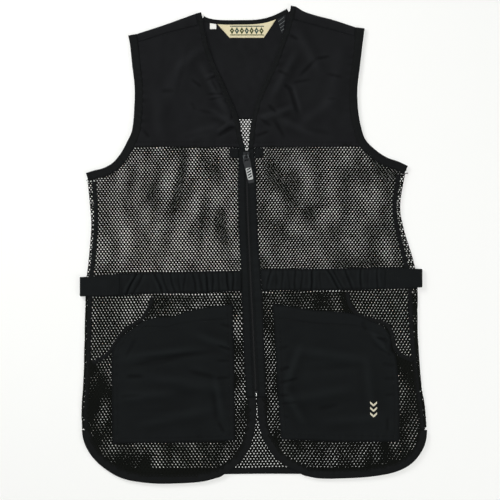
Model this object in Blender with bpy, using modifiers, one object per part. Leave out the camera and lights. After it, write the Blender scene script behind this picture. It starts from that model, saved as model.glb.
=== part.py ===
"""A zip-front shooting vest of shell cloth and net, laid flat on its back.

The back lies on the surface at height 0, the fronts lie on the back, and the belt and the pockets lie on
the fronts. +X is to the right as one looks down on it, +Y runs towards the shoulders and +Z is up. The
origin is under the middle of the vest. Tables are in millimetres and everything built is in metres.
"""
import math

import bmesh
import bpy
import numpy as np

MM = 0.001

# Walls and seams, in millimetres
WALL = 1.2
BINDING_WALL = 1.8
PLACKET_WALL = 2.4
TAPE_WALL = 1.6
BELT_WALL = 1.6
LABEL_WALL = 1.0
SEAM_GAP = 0.3
FOLD_RADIUS = 1.2

# Heights of each layer's middle over the surface, in millimetres
BACK_LEVEL = 0.6
BACK_BINDING_LEVEL = 0.9
LABEL_LEVEL = 2.0
FRONT_LEVEL = BACK_LEVEL + 2 * FOLD_RADIUS
PLACKET_LEVEL = 3.6
TAPE_LEVEL = 3.2
HAND_POCKET_LEVEL = 4.8
HAND_BINDING_LEVEL = 4.8
ZIP_PATCH_LEVEL = 4.5
BELT_LEVEL = 5.0
PATCH_POCKET_LEVEL = 6.6

# Widths of the strips, in millimetres
ARMHOLE_BINDING = 13.5
NECK_BINDING = 8.5
BACK_NECK_BINDING = 8.0
HEM_BINDING = 14.0
BACK_HEM_BINDING = 9.5
SIDE_BAND = 7.0
HAND_BINDING = 6.0
ZIP_WIDTH_TOP = 4.2
ZIP_WIDTH_BOTTOM = 6.6

BACK_YOKE_Y = 193.0
YOKE_Y = 150.0
FOLDS_END_Y = 2.0
FOLDS_FADE = 26.0

# Edges of the laid garment: x mm, y mm
ARM_EDGE = {
    "left": [(-194, 324), (-191, 308), (-188, 279), (-184, 243), (-185, 206), (-188, 178), (-195, 161),
             (-206, 141), (-218, 127), (-232, 119), (-247, 115), (-259.5, 111)],
    "right": [(172, 335), (169, 311), (165, 277), (161, 243), (162, 209), (167, 181), (174, 162),
              (190, 146), (207, 135), (224, 129), (239, 122)],
}
NECK_EDGE = {
    "left": [(-81, 360), (-77, 342), (-71, 314), (-62, 286), (-50, 260), (-37, 230), (-23, 198),
             (-18, 168), (-12, 146)],
    "right": [(58, 370.2), (53, 345), (44, 320), (38, 302), (29, 277), (16, 252), (6, 227),
              (-2.5, 196), (-6.6, 165), (-7.9, 146)],
}
BACK_NECK_EDGE = [(-81, 359.5), (-74, 353), (-63, 349.5), (-46, 348), (-21, 348), (1, 348.5),
                  (18, 351), (33, 356), (46, 362.5), (58, 369.5)]
HEM_EDGE = {
    "left": [(-266, -287), (-263, -304), (-255, -321), (-243, -336), (-227, -349), (-208, -360),
             (-184, -366.5), (-150, -370), (-114, -369.5), (-80, -367), (-52, -360)],
    "right": [(269, -287), (267, -304), (260, -321), (247, -337), (230, -348), (208, -355),
              (174, -360), (134, -362), (103, -362), (80, -358)],
}
FRONT_CURVE = {
    "left": [(-52, -360), (-38, -351), (-25.6, -341.8), (-13.5, -327.5), (-5.4, -314), (-1.2, -300),
             (2.0, -285.7), (4.0, -270), (4.6, -252), (3.6, -236)],
    "right": [(80, -358), (63, -350), (48.5, -342), (37, -333), (27.6, -323), (20.5, -312), (14, -299),
              (10.4, -286.5), (7.8, -274), (6.4, -258), (5.4, -245), (4.6, -236)],
}
BACK_HEM_EDGE = [(-265, -287), (-261, -304), (-253, -320), (-241, -334), (-226, -344), (-204, -352),
                 (-160, -356), (-83, -356), (5, -355), (88, -355), (165, -354), (208, -349),
                 (230, -342), (247, -331), (259, -316), (265, -302), (268, -287)]

# The sides under the arms: y mm, x mm where the back turns over, x mm of the side seam on the front
SIDE = {
    "left": [(106, -258.5, -251), (63, -254, -248), (26, -252, -247.5), (-24, -256, -251.5),
             (-62, -260, -256), (-132, -262, -258), (-210, -264, -260), (-253, -267, -262.5),
             (-287, -266, -261.5)],
    "right": [(118, 237, 230), (63, 228, 222), (26, 233, 226), (-24, 248, 238), (-62, 254.5, 245),
              (-132, 255, 248), (-210, 260, 255.5), (-253, 266.5, 261.5), (-287, 269, 264.5)],
}

# The zip: x mm, y mm of its middle, and of the plackets' outer edges
ZIP_LINE = [(-10, 146), (-10, 85), (-7, 7), (-4, -62), (0, -148), (4.1, -236)]
PLACKET_EDGE = {
    "left": [(-21, 150), (-24, 108), (-24, 62), (-22, 7), (-19, -39), (-18, -86), (-16, -148),
             (-14, -194), (-11, -236)],
    "right": [(3, 150), (4, 108), (5, 62), (7.5, 7), (10.5, -39), (14, -86), (16.5, -148),
              (18, -194), (19, -236)],
}
# Where the back turns over each shoulder, and the seam in front of it, between the bindings
SHOULDER = {"left": [(-138, 340.5)], "right": [(123, 348.3), (98, 354.8), (79, 361)]}
FORWARD_SEAM = {"left": [(-191, 314), (-137, 327), (-88, 340)],
                "right": [(171, 323), (119, 334), (67, 349)]}

# The belt: x mm, y mm of its top edge and y mm of its bottom edge, from the side to the zip
BELT = {
    "left": [(-207, -44.5, -78.5), (-160, -43, -76.5), (-114, -42, -75), (-60, -41, -73.5),
             (-20.2, -40, -72)],
    "right": [(204, -35, -69), (160, -36, -69.5), (119, -37, -70), (60, -37.5, -70.5),
              (14.2, -38, -71)],
}
BELT_TAB = {
    "left": [(-207, -44.5, -78.5), (-228, -47, -79.5), (-249, -49, -80), (-269, -50, -80)],
    "right": [(204, -35, -69), (224, -35.5, -68.5), (243, -36.5, -67.5), (261.5, -37.5, -66)],
}
# Creases between the belt's gathers: x mm at its top edge, x mm at its bottom edge, width mm, depth mm
BELT_CREASES = {
    "left": [(-181, -197, 3.0, 2.6), (-170, -186, 2.8, 1.0), (-152.7, -141, 3.0, 2.0), (-143, -131, 2.6, 0.9),
             (-130, -121, 2.8, 1.3), (-117, -113, 2.6, 0.8), (-106, -108, 2.6, 0.9), (-95, -88, 2.8, 1.3),
             (-84, -80, 2.6, 0.9), (-75, -69.4, 2.8, 2.4), (-63.5, -63, 2.6, 1.3), (-53, -54, 2.6, 1.0),
             (-42.7, -37.3, 2.8, 1.9), (-31.8, -31.8, 2.6, 1.5)],
    "right": [(26.7, 20, 2.6, 1.4), (36, 34, 2.6, 0.8), (44.6, 44.6, 2.6, 1.1), (54, 55, 2.4, 0.8),
              (64.3, 64.3, 2.6, 1.2), (75.3, 74, 2.6, 1.0), (92, 88.7, 2.8, 2.3), (103, 104, 2.6, 0.8),
              (113, 133, 3.0, 2.4), (122.5, 138, 2.6, 1.1), (141.8, 152, 2.8, 1.7), (166, 166, 2.6, 1.4),
              (178, 177, 2.4, 0.8), (191.6, 191.6, 2.6, 1.1)],
}
BELT_PUFF = 2.2

# Pocket edges: x mm, y mm
HAND_MOUTH = {
    "left": [(-159, -80), (-164, -95), (-174, -112), (-195, -126), (-208, -138), (-218, -153),
             (-230, -169), (-251, -181)],
    "right": [(148, -73), (153, -93), (166, -107), (187, -114), (208, -121), (217, -137),
              (221, -157), (231, -169), (248, -176)],
}
PATCH_TOP = {
    "left": [(-168, -117), (-145, -112), (-123, -111), (-106, -104), (-74, -97), (-32, -92)],
    "right": [(200, -125), (184, -119), (150, -106), (91, -101), (55, -95), (29, -92)],
}
PATCH_OUTER = {
    "left": [(-218, -308), (-219, -241), (-219, -170), (-211, -152), (-202, -141), (-188, -131),
             (-176, -122), (-168, -117)],
    "right": [(226, -305), (226, -241), (221, -178), (214, -163), (211, -141), (200, -125)],
}
PATCH_INNER = {"left": [(-29, -303), (-29.5, -210), (-32, -92)],
               "right": [(43, -301.5), (38, -241), (33, -140), (29, -92)]}
PATCH_BOTTOM = {"left": [(-218, -308), (-160, -307), (-98, -306), (-29, -303)],
                "right": [(226, -305), (134, -304.5), (43, -301.5)]}

# Soft folds of the fronts and the pockets: x mm, y mm, direction deg, length mm, width mm, height mm
FRONT_FOLDS = [
    (-58, 236, 118, 100, 9, 4.0), (-46, 196, 152, 46, 6, 2.6), (-72, 178, 20, 70, 9, 2.2),
    (-120, 262, 65, 110, 14, 3.0), (-150, 205, 95, 80, 12, 2.4), (-96, 292, 40, 60, 9, 2.0),
    (46, 262, 62, 84, 8, 3.4), (34, 204, 20, 56, 6, 2.6), (64, 184, 155, 60, 8, 2.2),
    (84, 300, 120, 74, 10, 2.6), (124, 250, 78, 110, 14, 3.2), (96, 206, 40, 60, 9, 2.0),
    (-150, 70, 100, 120, 15, 4.2), (-92, 36, 72, 120, 14, 3.6), (-52, 96, 110, 70, 10, 2.4),
    (-208, 30, 84, 90, 12, 3.0), (-60, 2, 15, 50, 9, 2.2), (-180, -6, 160, 60, 9, 2.2),
    (60, 84, 68, 110, 13, 3.4), (118, 44, 104, 130, 15, 4.4), (168, 92, 55, 80, 12, 3.0),
    (196, 26, 80, 90, 12, 3.2), (46, 10, 160, 50, 9, 2.2), (150, -4, 12, 60, 9, 2.0),
]
POCKET_FOLDS = [
    (-150, -170, 8, 110, 9, 2.4), (-104, -214, 172, 120, 11, 2.8), (-60, -150, 160, 60, 8, 2.2),
    (-164, -232, 4, 80, 9, 2.0), (-54, -236, 100, 70, 7, 1.8), (-120, -266, 12, 110, 10, 2.2),
    (196, -152, 128, 44, 6, 2.6), (60, -190, 70, 70, 8, 2.4), (120, -170, 172, 110, 10, 2.4),
    (100, -232, 10, 110, 11, 2.6), (178, -214, 96, 80, 9, 2.0), (62, -250, 120, 60, 8, 2.2),
    (150, -270, 4, 90, 9, 1.8),
]

# The zip's hard pieces, in millimetres
SLIDER_LENGTH, SLIDER_WIDTH, SLIDER_HEIGHT = 12.5, 10.0, 2.2
SLIDER_BOTTOM = PLACKET_LEVEL + PLACKET_WALL / 2 + SEAM_GAP
SLIDER_X, SLIDER_Y = -11.2, 138.0
BRIDGE_LENGTH, BRIDGE_WIDTH, BRIDGE_HEIGHT, BRIDGE_WALL = 8.6, 2.4, 4.0, 1.0
PULL_X, PULL_LEAN_DEG = -12.2, 12.0
PULL_LENGTH, PULL_WIDTH, PULL_WALL = 44.0, 11.2, 1.9
PULL_EYE_LENGTH, PULL_EYE_WIDTH, PULL_PIN_RADIUS, PULL_PIN_CLEAR = 6.0, 6.4, 0.9, 0.75
STOP_LENGTH, STOP_WIDTH = 9.0, 5.6

# How many spans each shared seam has
HEM_STATIONS, CURVE_STATIONS, PLACKET_STATIONS, MOUTH_STATIONS = 11, 5, 10, 9

CLOTH = (0.011, 0.012, 0.015)
NET = (0.012, 0.012, 0.012)
LABEL = (0.72, 0.62, 0.48)


def dense(rows, steps=24):
    """A smooth curve through the rows, as many closely spaced points."""
    p = np.array(rows, float)
    p = np.vstack([2 * p[0] - p[1], p, 2 * p[-1] - p[-2]])
    t = np.linspace(0, 1, steps, endpoint=False)[:, None]
    spans = []
    for a, b, c, d in zip(p[:-3], p[1:-2], p[2:-1], p[3:]):
        spans.append(0.5 * (2 * b + (c - a) * t + (2 * a - 5 * b + 4 * c - d) * t**2
                            + (3 * b - a - 3 * c + d) * t**3))
    return np.vstack(spans + [p[-2]])


def along(curve):
    """How far along the curve each of its points is, from 0 to 1."""
    run = np.concatenate([[0], np.cumsum(np.linalg.norm(np.diff(curve[:, :2], axis=0), axis=1))])
    return run / run[-1]


def at(curve, shares):
    """The points of the curve at these shares of its length."""
    run = along(curve)
    return np.column_stack([np.interp(shares, run, curve[:, k]) for k in range(curve.shape[1])])


def evenly(curve, count, start=0.0, end=1.0):
    return at(curve, np.linspace(start, end, count + 1))


def share_at_y(curve, y):
    """The share of its length where the curve first crosses this height."""
    below = np.nonzero(np.diff(np.sign(curve[:, 1] - y)))[0]
    run = along(curve)
    i = below[0]
    step = (y - curve[i, 1]) / (curve[i + 1, 1] - curve[i, 1])
    return run[i] + step * (run[i + 1] - run[i])


def normals(line):
    """Unit normals to the left of the line's direction."""
    tangent = np.gradient(line[:, :2], axis=0)
    tangent /= np.linalg.norm(tangent, axis=1)[:, None]
    return np.column_stack([-tangent[:, 1], tangent[:, 0]])


def cut_at_y(line, y):
    """The line down to this height, where it ends."""
    kept = line[line[:, 1] > y]
    end = np.interp(y, line[::-1, 1], line[::-1, 0])
    return np.vstack([kept, [end, y]])


def beside(line, distance):
    """The line moved to its left by this distance."""
    return line[:, :2] + normals(line) * distance


def folds_height(x, y, folds):
    """How far the soft folds lift the cloth at a point."""
    lift = 0.0
    for fx, fy, direction, length, width, height in folds:
        turn = math.radians(direction)
        run = (x - fx) * math.cos(turn) + (y - fy) * math.sin(turn)
        across = -(x - fx) * math.sin(turn) + (y - fy) * math.cos(turn)
        lift += height * math.exp(-((across / width) ** 2) - (2 * run / length) ** 4)
    return lift


def front_height(x, y):
    """The middle of the fronts' wall, level from just over the belt down, where other pieces lie on it."""
    fade = min(1.0, max(0.0, (y - FOLDS_END_Y) / FOLDS_FADE))
    return FRONT_LEVEL + fade * folds_height(x, y, FRONT_FOLDS)


def patch(bottom, top, left, right):
    """Points between four edges, in rows from the bottom to the top. Edges that meet share their ends."""
    u = np.linspace(0, 1, len(bottom))[None, :, None]
    v = np.linspace(0, 1, len(left))[:, None, None]
    ruled = (1 - v) * bottom[None] + v * top[None] + (1 - u) * left[:, None] + u * right[:, None]
    corners = ((1 - u) * (1 - v) * bottom[0] + u * (1 - v) * bottom[-1]
               + (1 - u) * v * top[0] + u * v * top[-1])
    return ruled - corners


def strip(outer, inner, across=1):
    """Points between two lines of as many stations, in rows across the strip."""
    share = np.linspace(0, 1, across + 1)[:, None, None]
    return (1 - share) * outer[None, :, :2] + share * inner[None, :, :2]


def inset(points, amount):
    """Draws a grid of points in from its four edges, by an amount for the seam's gap."""
    drawn = points.copy()
    edges = ((np.s_[0, :], points[1] - points[0]), (np.s_[-1, :], points[-2] - points[-1]),
             (np.s_[:, 0], points[:, 1] - points[:, 0]), (np.s_[:, -1], points[:, -2] - points[:, -1]))
    for place, inward in edges:
        line = points[place]
        side = normals(line)
        side *= np.sign((side * inward[:, :2]).sum(axis=1))[:, None]
        drawn[place][:, :2] += side * amount
    return drawn


def material(name, colour, roughness, metallic=0.0):
    found = bpy.data.materials.get(name)
    if found:
        return found
    made = bpy.data.materials.new(name)
    made.use_nodes = True
    shader = made.node_tree.nodes["Principled BSDF"]
    shader.inputs["Base Color"].default_value = (*colour, 1)
    shader.inputs["Roughness"].default_value = roughness
    shader.inputs["Metallic"].default_value = metallic
    made.diffuse_color = (*colour, 1)
    return made


def add_object(name, mesh, finish):
    made = bpy.data.objects.new(name, mesh)
    made.data.materials.append(finish)
    vest.objects.link(made)
    return made


def sheet(name, points, wall, finish, keep=None):
    """A wall of cloth through a grid of points, in millimetres. keep(row, column) may leave faces out."""
    rows, columns = points.shape[:2]
    mesh = bpy.data.meshes.new(name)
    bm = bmesh.new()
    bmesh.ops.create_grid(bm, x_segments=columns - 1, y_segments=rows - 1, size=1)
    order = sorted(bm.verts, key=lambda v: (round(v.co.y, 5), round(v.co.x, 5)))
    spots = {}
    for i, vert in enumerate(order):
        spots[vert] = divmod(i, columns)
        vert.co = points[spots[vert]] * MM
    if keep:
        gone = []
        for face in bm.faces:
            row = min(spots[v][0] for v in face.verts)
            column = min(spots[v][1] for v in face.verts)
            if not keep(row, column):
                gone.append(face)
        bmesh.ops.delete(bm, geom=gone, context="FACES")
    bm.to_mesh(mesh)
    bm.free()
    mesh.shade_smooth()
    made = add_object(name, mesh, finish)
    solid = made.modifiers.new("wall", "SOLIDIFY")
    solid.thickness = wall * MM
    solid.offset = 0
    return made


def level_sheet(name, points, level, wall, finish, gap=SEAM_GAP / 2, height=None):
    """A sheet over points in plan, level or at a height that a function of x and y gives."""
    plan = inset(points, gap)
    if height is None:
        z = np.full(plan.shape[:2], level)
    else:
        z = np.array([[height(x, y) + level for x, y in row] for row in plan])
    return sheet(name, np.dstack([plan, z]), wall, finish)


def fold_over(line, outward, seam):
    """Turns the back over its side: rows of points from the seam on the front, round, to the flat back."""
    reach = FOLD_RADIUS + WALL / 2
    centre = line - outward * reach
    rows = [np.column_stack([seam, np.full(len(seam), FRONT_LEVEL)])]
    for turn in np.radians([90, 45, 0, -45, -90]):
        spot = centre + outward * FOLD_RADIUS * math.cos(turn)
        height = BACK_LEVEL + FOLD_RADIUS * (1 + math.sin(turn))
        rows.append(np.column_stack([spot, np.full(len(spot), height)]))
    return rows


class Front:
    """The seam lines of one front, each worked out once so that the pieces beside it share its stations."""

    def __init__(self, side):
        self.side = side
        self.out = -1 if side == "left" else 1
        arm = dense(ARM_EDGE[side])
        self.arm = arm
        self.arm_in = beside(arm, -self.out * ARMHOLE_BINDING)
        self.arm_length = np.linalg.norm(np.diff(arm, axis=0), axis=1).sum()
        self.forward_share = share_at_y(self.arm_in, FORWARD_SEAM[side][0][1])
        self.yoke_share = share_at_y(self.arm_in, YOKE_Y)
        self.back_yoke_share = share_at_y(self.arm_in, BACK_YOKE_Y)
        self.band_share = 1 - (SIDE_BAND + abs(SIDE[side][0][1] - SIDE[side][0][2]) + 2) / self.arm_length
        neck = dense(NECK_EDGE[side])
        self.neck = neck
        self.neck_in = cut_at_y(beside(neck, self.out * NECK_BINDING), YOKE_Y)
        self.neck_share = share_at_y(self.neck_in, FORWARD_SEAM[side][-1][1])
        hem = dense(HEM_EDGE[side])
        curve = dense(FRONT_CURVE[side])
        self.hem, self.curve = hem, curve
        whole = np.vstack([hem, curve[1:]])
        inner = beside(whole, -self.out * HEM_BINDING)
        inner[0] = hem[0] + np.array([-self.out * HEM_BINDING, 0])
        inner[-1] = PLACKET_EDGE[side][-1]
        self.hem_in, self.curve_in = inner[:len(hem)], inner[len(hem) - 1:]
        self.side_rows = dense([(x, y) for y, x, seam in SIDE[side]])
        self.seam_rows = dense([(seam, y) for y, x, seam in SIDE[side]])
        self.placket = dense([self.neck_in[-1], *PLACKET_EDGE[side][1:]])

    def arm_shares(self):
        """Stations of the armhole on the front: shoulder, forward seam, yoke seam, side band, corner."""
        return np.concatenate([[0.0], np.linspace(self.forward_share, self.yoke_share, 8),
                               np.linspace(self.yoke_share, self.band_share, 7)[1:], [1.0]])

    def neck_shares(self):
        return np.concatenate([[0.0], np.linspace(self.neck_share, 1, 8)])

    def side_stations(self, line, first_y):
        """Stations down the side, from just under the armhole binding to the hem."""
        return at(line, np.linspace(share_at_y(line, first_y), 1, 10))

    def band_lines(self):
        first_y = self.side_top()
        seam = self.side_stations(self.seam_rows, first_y)
        inner = seam + np.array([-self.out * SIDE_BAND, 0])
        inner[-1] = self.hem_in[0]
        return seam, inner

    def side_top(self):
        """Where the side begins, under the end of the armhole's binding."""
        return self.arm_in[-1, 1] - 0.5

    def placket_x(self, y):
        """The placket's outer edge at these heights."""
        return np.interp(y, self.placket[::-1, 1], self.placket[::-1, 0])

    def zip_edge(self, count):
        """The zip tape's edge from the top down, and the zip's middle at the same stations."""
        middle = evenly(dense(ZIP_LINE), count)
        share = np.linspace(0, 1, count + 1)[:, None]
        half = (ZIP_WIDTH_TOP * (1 - share) + ZIP_WIDTH_BOTTOM * share) / 2
        return middle + np.hstack([self.out * half, 0 * half]), middle


def build_armhole_bindings(front, cloth):
    shares = front.arm_shares()
    points = strip(at(front.arm, shares), at(front.arm_in, shares))
    level_sheet(f"armhole_binding_{front.side}", points, 0, BINDING_WALL, cloth, height=front_height)
    top = np.linspace(0, front.back_yoke_share, 7)
    shares = np.concatenate([top, np.linspace(front.back_yoke_share, 1, 9)[1:]])
    points = strip(at(front.arm, shares), at(front.arm_in, shares))
    level_sheet(f"back_armhole_binding_{front.side}", points, BACK_BINDING_LEVEL, BINDING_WALL, cloth)


def build_neck_binding(front, cloth):
    shares = front.neck_shares()
    points = strip(at(front.neck, shares), at(front.neck_in, shares))
    level_sheet(f"neck_binding_{front.side}", points, 0, BINDING_WALL, cloth, height=front_height)


def build_front_yoke(front, cloth):
    arm = at(front.arm_in, front.arm_shares()[1:9])
    neck = at(front.neck_in, front.neck_shares()[1:])
    columns = 11
    shoulder = evenly(dense([arm[0], *FORWARD_SEAM[front.side][1:-1], neck[0]]), columns)
    seam = evenly(np.array([arm[-1], neck[-1]]), columns)
    points = patch(seam, shoulder, arm[::-1], neck[::-1])
    level_sheet(f"front_yoke_{front.side}", points, 0, WALL, cloth, height=front_height)


def build_front_net(front, net):
    band = front.band_lines()[1]
    outer = np.vstack([at(front.arm_in, front.arm_shares()[8:15]), band[1:]])
    top = evenly(np.array([outer[0], front.placket[0]]), HEM_STATIONS)
    bottom = evenly(front.hem_in, HEM_STATIONS)
    placket = evenly(front.placket, PLACKET_STATIONS)
    inner = np.vstack([placket, evenly(front.curve_in, CURVE_STATIONS)[::-1][1:]])
    points = patch(bottom, top, outer[::-1], inner[::-1])
    level_sheet(f"front_net_{front.side}", points, 0, WALL, net, height=front_height)


def build_side_band(front, cloth):
    seam, band = front.band_lines()
    level_sheet(f"side_band_{front.side}", strip(seam, band), 0, BINDING_WALL, cloth, height=front_height)


def build_hem_binding(front, cloth):
    outer = np.vstack([evenly(front.hem, HEM_STATIONS), evenly(front.curve, CURVE_STATIONS)[1:]])
    inner = np.vstack([evenly(front.hem_in, HEM_STATIONS), evenly(front.curve_in, CURVE_STATIONS)[1:]])
    level_sheet(f"hem_binding_{front.side}", strip(outer, inner), FRONT_LEVEL, BINDING_WALL, cloth)


def build_zip_side(front, cloth, tape):
    """The placket is a doubled strip beside the zip, and the tape carries the zip's teeth."""
    edge, middle = front.zip_edge(PLACKET_STATIONS)
    outer = evenly(front.placket, PLACKET_STATIONS)
    level_sheet(f"placket_{front.side}", strip(outer, edge, 2), PLACKET_LEVEL, PLACKET_WALL, cloth)
    level_sheet(f"zip_tape_{front.side}", strip(edge, middle), TAPE_LEVEL, TAPE_WALL, tape)


def build_zip_patch(front, cloth):
    """A small bar-tacked patch on the net, close beside the placket's top."""
    length, width = 14.0, 14.0
    top = YOKE_Y - 1.5
    rows = []
    for y in (top, top - length / 2, top - length):
        edge = front.placket_x(y) + front.out * SEAM_GAP
        rows.append(np.column_stack([np.linspace(edge, edge + front.out * width, 3), np.full(3, y)]))
    level_sheet(f"zip_patch_{front.side}", np.array(rows), ZIP_PATCH_LEVEL, WALL, cloth, gap=0)


def meet_placket(front, plan, end):
    """Draws the belt's end up to the placket's slanting edge."""
    reach = 20.0
    near = np.clip(1 - abs(plan[..., 0] - end) / reach, 0, 1)
    plan[..., 0] += (front.placket_x(plan[..., 1]) - end) * near


def belt_lines(rows, count):
    """The belt's top and bottom edges, at as many stations."""
    top = evenly(dense([(x, y) for x, y, low in rows]), count)
    bottom = evenly(dense([(x, low) for x, y, low in rows]), count)
    return top, bottom


def build_belt(front, cloth):
    """The belt is gathered on elastic, so it puffs up in ridges between its creases."""
    rows = BELT[front.side]
    columns, across, flat_end = 84, 3, 8.0
    top, bottom = belt_lines(rows, columns)
    plan = strip(top, bottom, across)
    meet_placket(front, plan, rows[-1][0])
    plan = inset(plan, SEAM_GAP)
    share = np.linspace(0, 1, across + 1)[:, None]
    x = plan[:, :, 0]
    lift = np.full(x.shape, BELT_PUFF)
    for x_top, x_bottom, width, depth in BELT_CREASES[front.side]:
        away = (x - x_top - (x_bottom - x_top) * share) / width
        lift -= depth * np.exp(-(away**2))
    ends = np.minimum(1, np.minimum(abs(x - x[:, :1]), abs(x - x[:, -1:])) / flat_end)
    z = BELT_LEVEL + np.maximum(lift, 0) * ends
    sheet(f"belt_{front.side}", np.dstack([plan, z]), BELT_WALL, cloth)


def build_belt_tab(front, cloth):
    """The belt's flat end lies over the side band and turns down over the vest's side to the surface."""
    top, bottom = belt_lines(BELT_TAB[front.side], 5)
    plan = strip(top, bottom, 2)
    low = BELT_WALL / 2
    radius = (BELT_LEVEL - low) / 2
    reach = radius + BELT_WALL / 2
    plan[:, 0, 0] += front.out * SEAM_GAP
    plan[:, -1, 0] -= front.out * reach
    columns = [np.column_stack([plan[:, i], np.full(3, BELT_LEVEL)]) for i in range(plan.shape[1])]
    for turn in np.radians([60, 30, 0, -30, -60, -90]):
        spot = plan[:, -1] + np.array([front.out * radius * math.cos(turn), 0])
        columns.append(np.column_stack([spot, np.full(3, low + radius * (1 + math.sin(turn)))]))
    points = np.stack(columns, axis=1)
    sheet(f"belt_tab_{front.side}", points, BELT_WALL, cloth)


def build_hand_pocket(front, net, cloth):
    """A second layer of net over the lower front, open along its slanted, bound mouth."""
    clear = 0.9
    mouth = dense(HAND_MOUTH[front.side])
    mouth_in = beside(mouth, -front.out * HAND_BINDING)
    points = strip(evenly(mouth, MOUTH_STATIONS), evenly(mouth_in, MOUTH_STATIONS))
    level_sheet(f"hand_pocket_binding_{front.side}", points, HAND_BINDING_LEVEL, BINDING_WALL, cloth)
    band = dense(front.band_lines()[1], 4)
    mouth_edge = evenly(mouth_in, MOUTH_STATIONS)
    low_band = evenly(band[band[:, 1] < mouth_in[-1, 1]], 4)
    mouth_edge[-1] = low_band[0]
    outer = np.vstack([mouth_edge, low_band[1:]])
    columns, rows = 9, len(outer) - 1
    placket = front.placket[front.placket[:, 1] < mouth_in[0, 1] - 1]
    curve_rows = 3
    inner = evenly(placket, rows - curve_rows)
    inner = np.vstack([inner, evenly(front.curve_in, curve_rows)[::-1][1:]])
    top = evenly(np.array([outer[0], inner[0]]), columns)
    bottom = evenly(front.hem_in, columns)
    points = patch(bottom, top, outer[::-1], inner[::-1])
    level_sheet(f"hand_pocket_{front.side}", points, HAND_POCKET_LEVEL, WALL, net, gap=clear)


def build_patch_pocket(front, cloth):
    side = front.side
    columns, rows = 12, 13
    outer = evenly(dense(PATCH_OUTER[side]), rows)
    inner = evenly(dense(PATCH_INNER[side]), rows)
    bottom = evenly(dense(PATCH_BOTTOM[side]), columns)
    top = evenly(dense(PATCH_TOP[side]), columns)
    points = patch(bottom, top, outer, inner)

    def height(x, y):
        return PATCH_POCKET_LEVEL + folds_height(x, y, POCKET_FOLDS)

    level_sheet(f"patch_pocket_{side}", points, 0, WALL, cloth, gap=0, height=height)


def back_neck_lines():
    """The back neck's edge and the seam under its binding, at the same stations."""
    edge = dense(BACK_NECK_EDGE)
    shares = np.linspace(0.06, 0.94, 9)
    return at(edge, shares), at(beside(edge, -BACK_NECK_BINDING), shares)


def back_hem_lines():
    """The back's hem and the seam over its binding. The stations are closer round its corners."""
    edge = dense(BACK_HEM_EDGE)
    inner = beside(edge, BACK_HEM_BINDING)
    inner[0] = edge[0] + np.array([BACK_HEM_BINDING, 0])
    inner[-1] = edge[-1] - np.array([BACK_HEM_BINDING, 0])
    corner = 0.2
    shares = np.concatenate([np.linspace(0, corner, 6), np.linspace(corner, 1 - corner, 9)[1:],
                             np.linspace(1 - corner, 1, 6)[1:]])
    return at(edge, shares), at(inner, shares)


def shoulder_line(front):
    """The crest of the shoulder between the two bindings, from the armhole to the neck."""
    return dense([front.arm_in[0], *SHOULDER[front.side], front.neck_in[0]])


def build_back_yoke(fronts, cloth):
    """Flat on the surface, then over each shoulder to the forward seam, with the neck cut out between."""
    left, right = fronts
    rows, shoulder_columns = 6, 8
    crests, seams, turns = [], [], []
    for front in fronts:
        crest = evenly(shoulder_line(front), shoulder_columns)
        arm = at(front.arm_in, [front.forward_share])[0]
        neck = at(front.neck_in, [front.neck_share])[0]
        seam = evenly(dense([arm, *FORWARD_SEAM[front.side][1:-1], neck]), shoulder_columns)
        outward = crest - seam
        outward /= np.linalg.norm(outward, axis=1)[:, None]
        crests.append(crest)
        seams.append(seam)
        turns.append(outward)
    crest = [crests[0], crests[1][::-1]]
    seam = [seams[0], seams[1][::-1]]
    turn = [turns[0], turns[1][::-1]]
    over = [fold_over(c, o, s) for c, o, s in zip(crest, turn, seam)]
    top_left, top_right = over[0][-1][:, :2], over[1][-1][:, :2]
    neck = back_neck_lines()[1]
    top = np.vstack([top_left, neck, top_right])
    arm_left = at(left.arm_in, np.linspace(left.back_yoke_share, 0, rows + 1))
    arm_right = at(right.arm_in, np.linspace(right.back_yoke_share, 0, rows + 1))
    arm_left[-1], arm_right[-1] = top[0], top[-1]
    bottom = evenly(np.array([arm_left[0], arm_right[0]]), len(top) - 1)
    plan = patch(bottom, top, arm_left, arm_right)
    flat = inset(plan, SEAM_GAP / 2)
    for shoulder in (np.s_[:shoulder_columns + 1], np.s_[-shoulder_columns - 1:]):
        flat[-1, shoulder] = plan[-1, shoulder]
    layers = [np.dstack([flat, np.full(flat.shape[:2], BACK_LEVEL)])]
    for k in range(len(over[0]) - 2, -1, -1):
        middle = np.linspace(over[0][k][-1], over[1][k][0], len(neck) + 2)[1:-1]
        layers.append(np.vstack([over[0][k], middle, over[1][k]])[None])
    points = np.vstack(layers)
    points[rows:, 0, 0] += SEAM_GAP / 2
    points[rows:, -1, 0] -= SEAM_GAP / 2
    for column in (shoulder_columns, len(top) - shoulder_columns - 1):
        points[rows:, column, 0] += -SEAM_GAP / 2 if column == shoulder_columns else SEAM_GAP / 2
    for lines, part in ((over[0], np.s_[:shoulder_columns + 1]), (over[1], np.s_[-shoulder_columns - 1:])):
        away = lines[1][:, :2] - lines[0][:, :2]
        points[-1, part, :2] += away / np.linalg.norm(away, axis=1)[:, None] * SEAM_GAP / 2

    def keep(row, column):
        return row < rows or not shoulder_columns <= column < len(top) - 1 - shoulder_columns

    sheet("back_yoke", points, WALL, cloth, keep)


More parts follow.
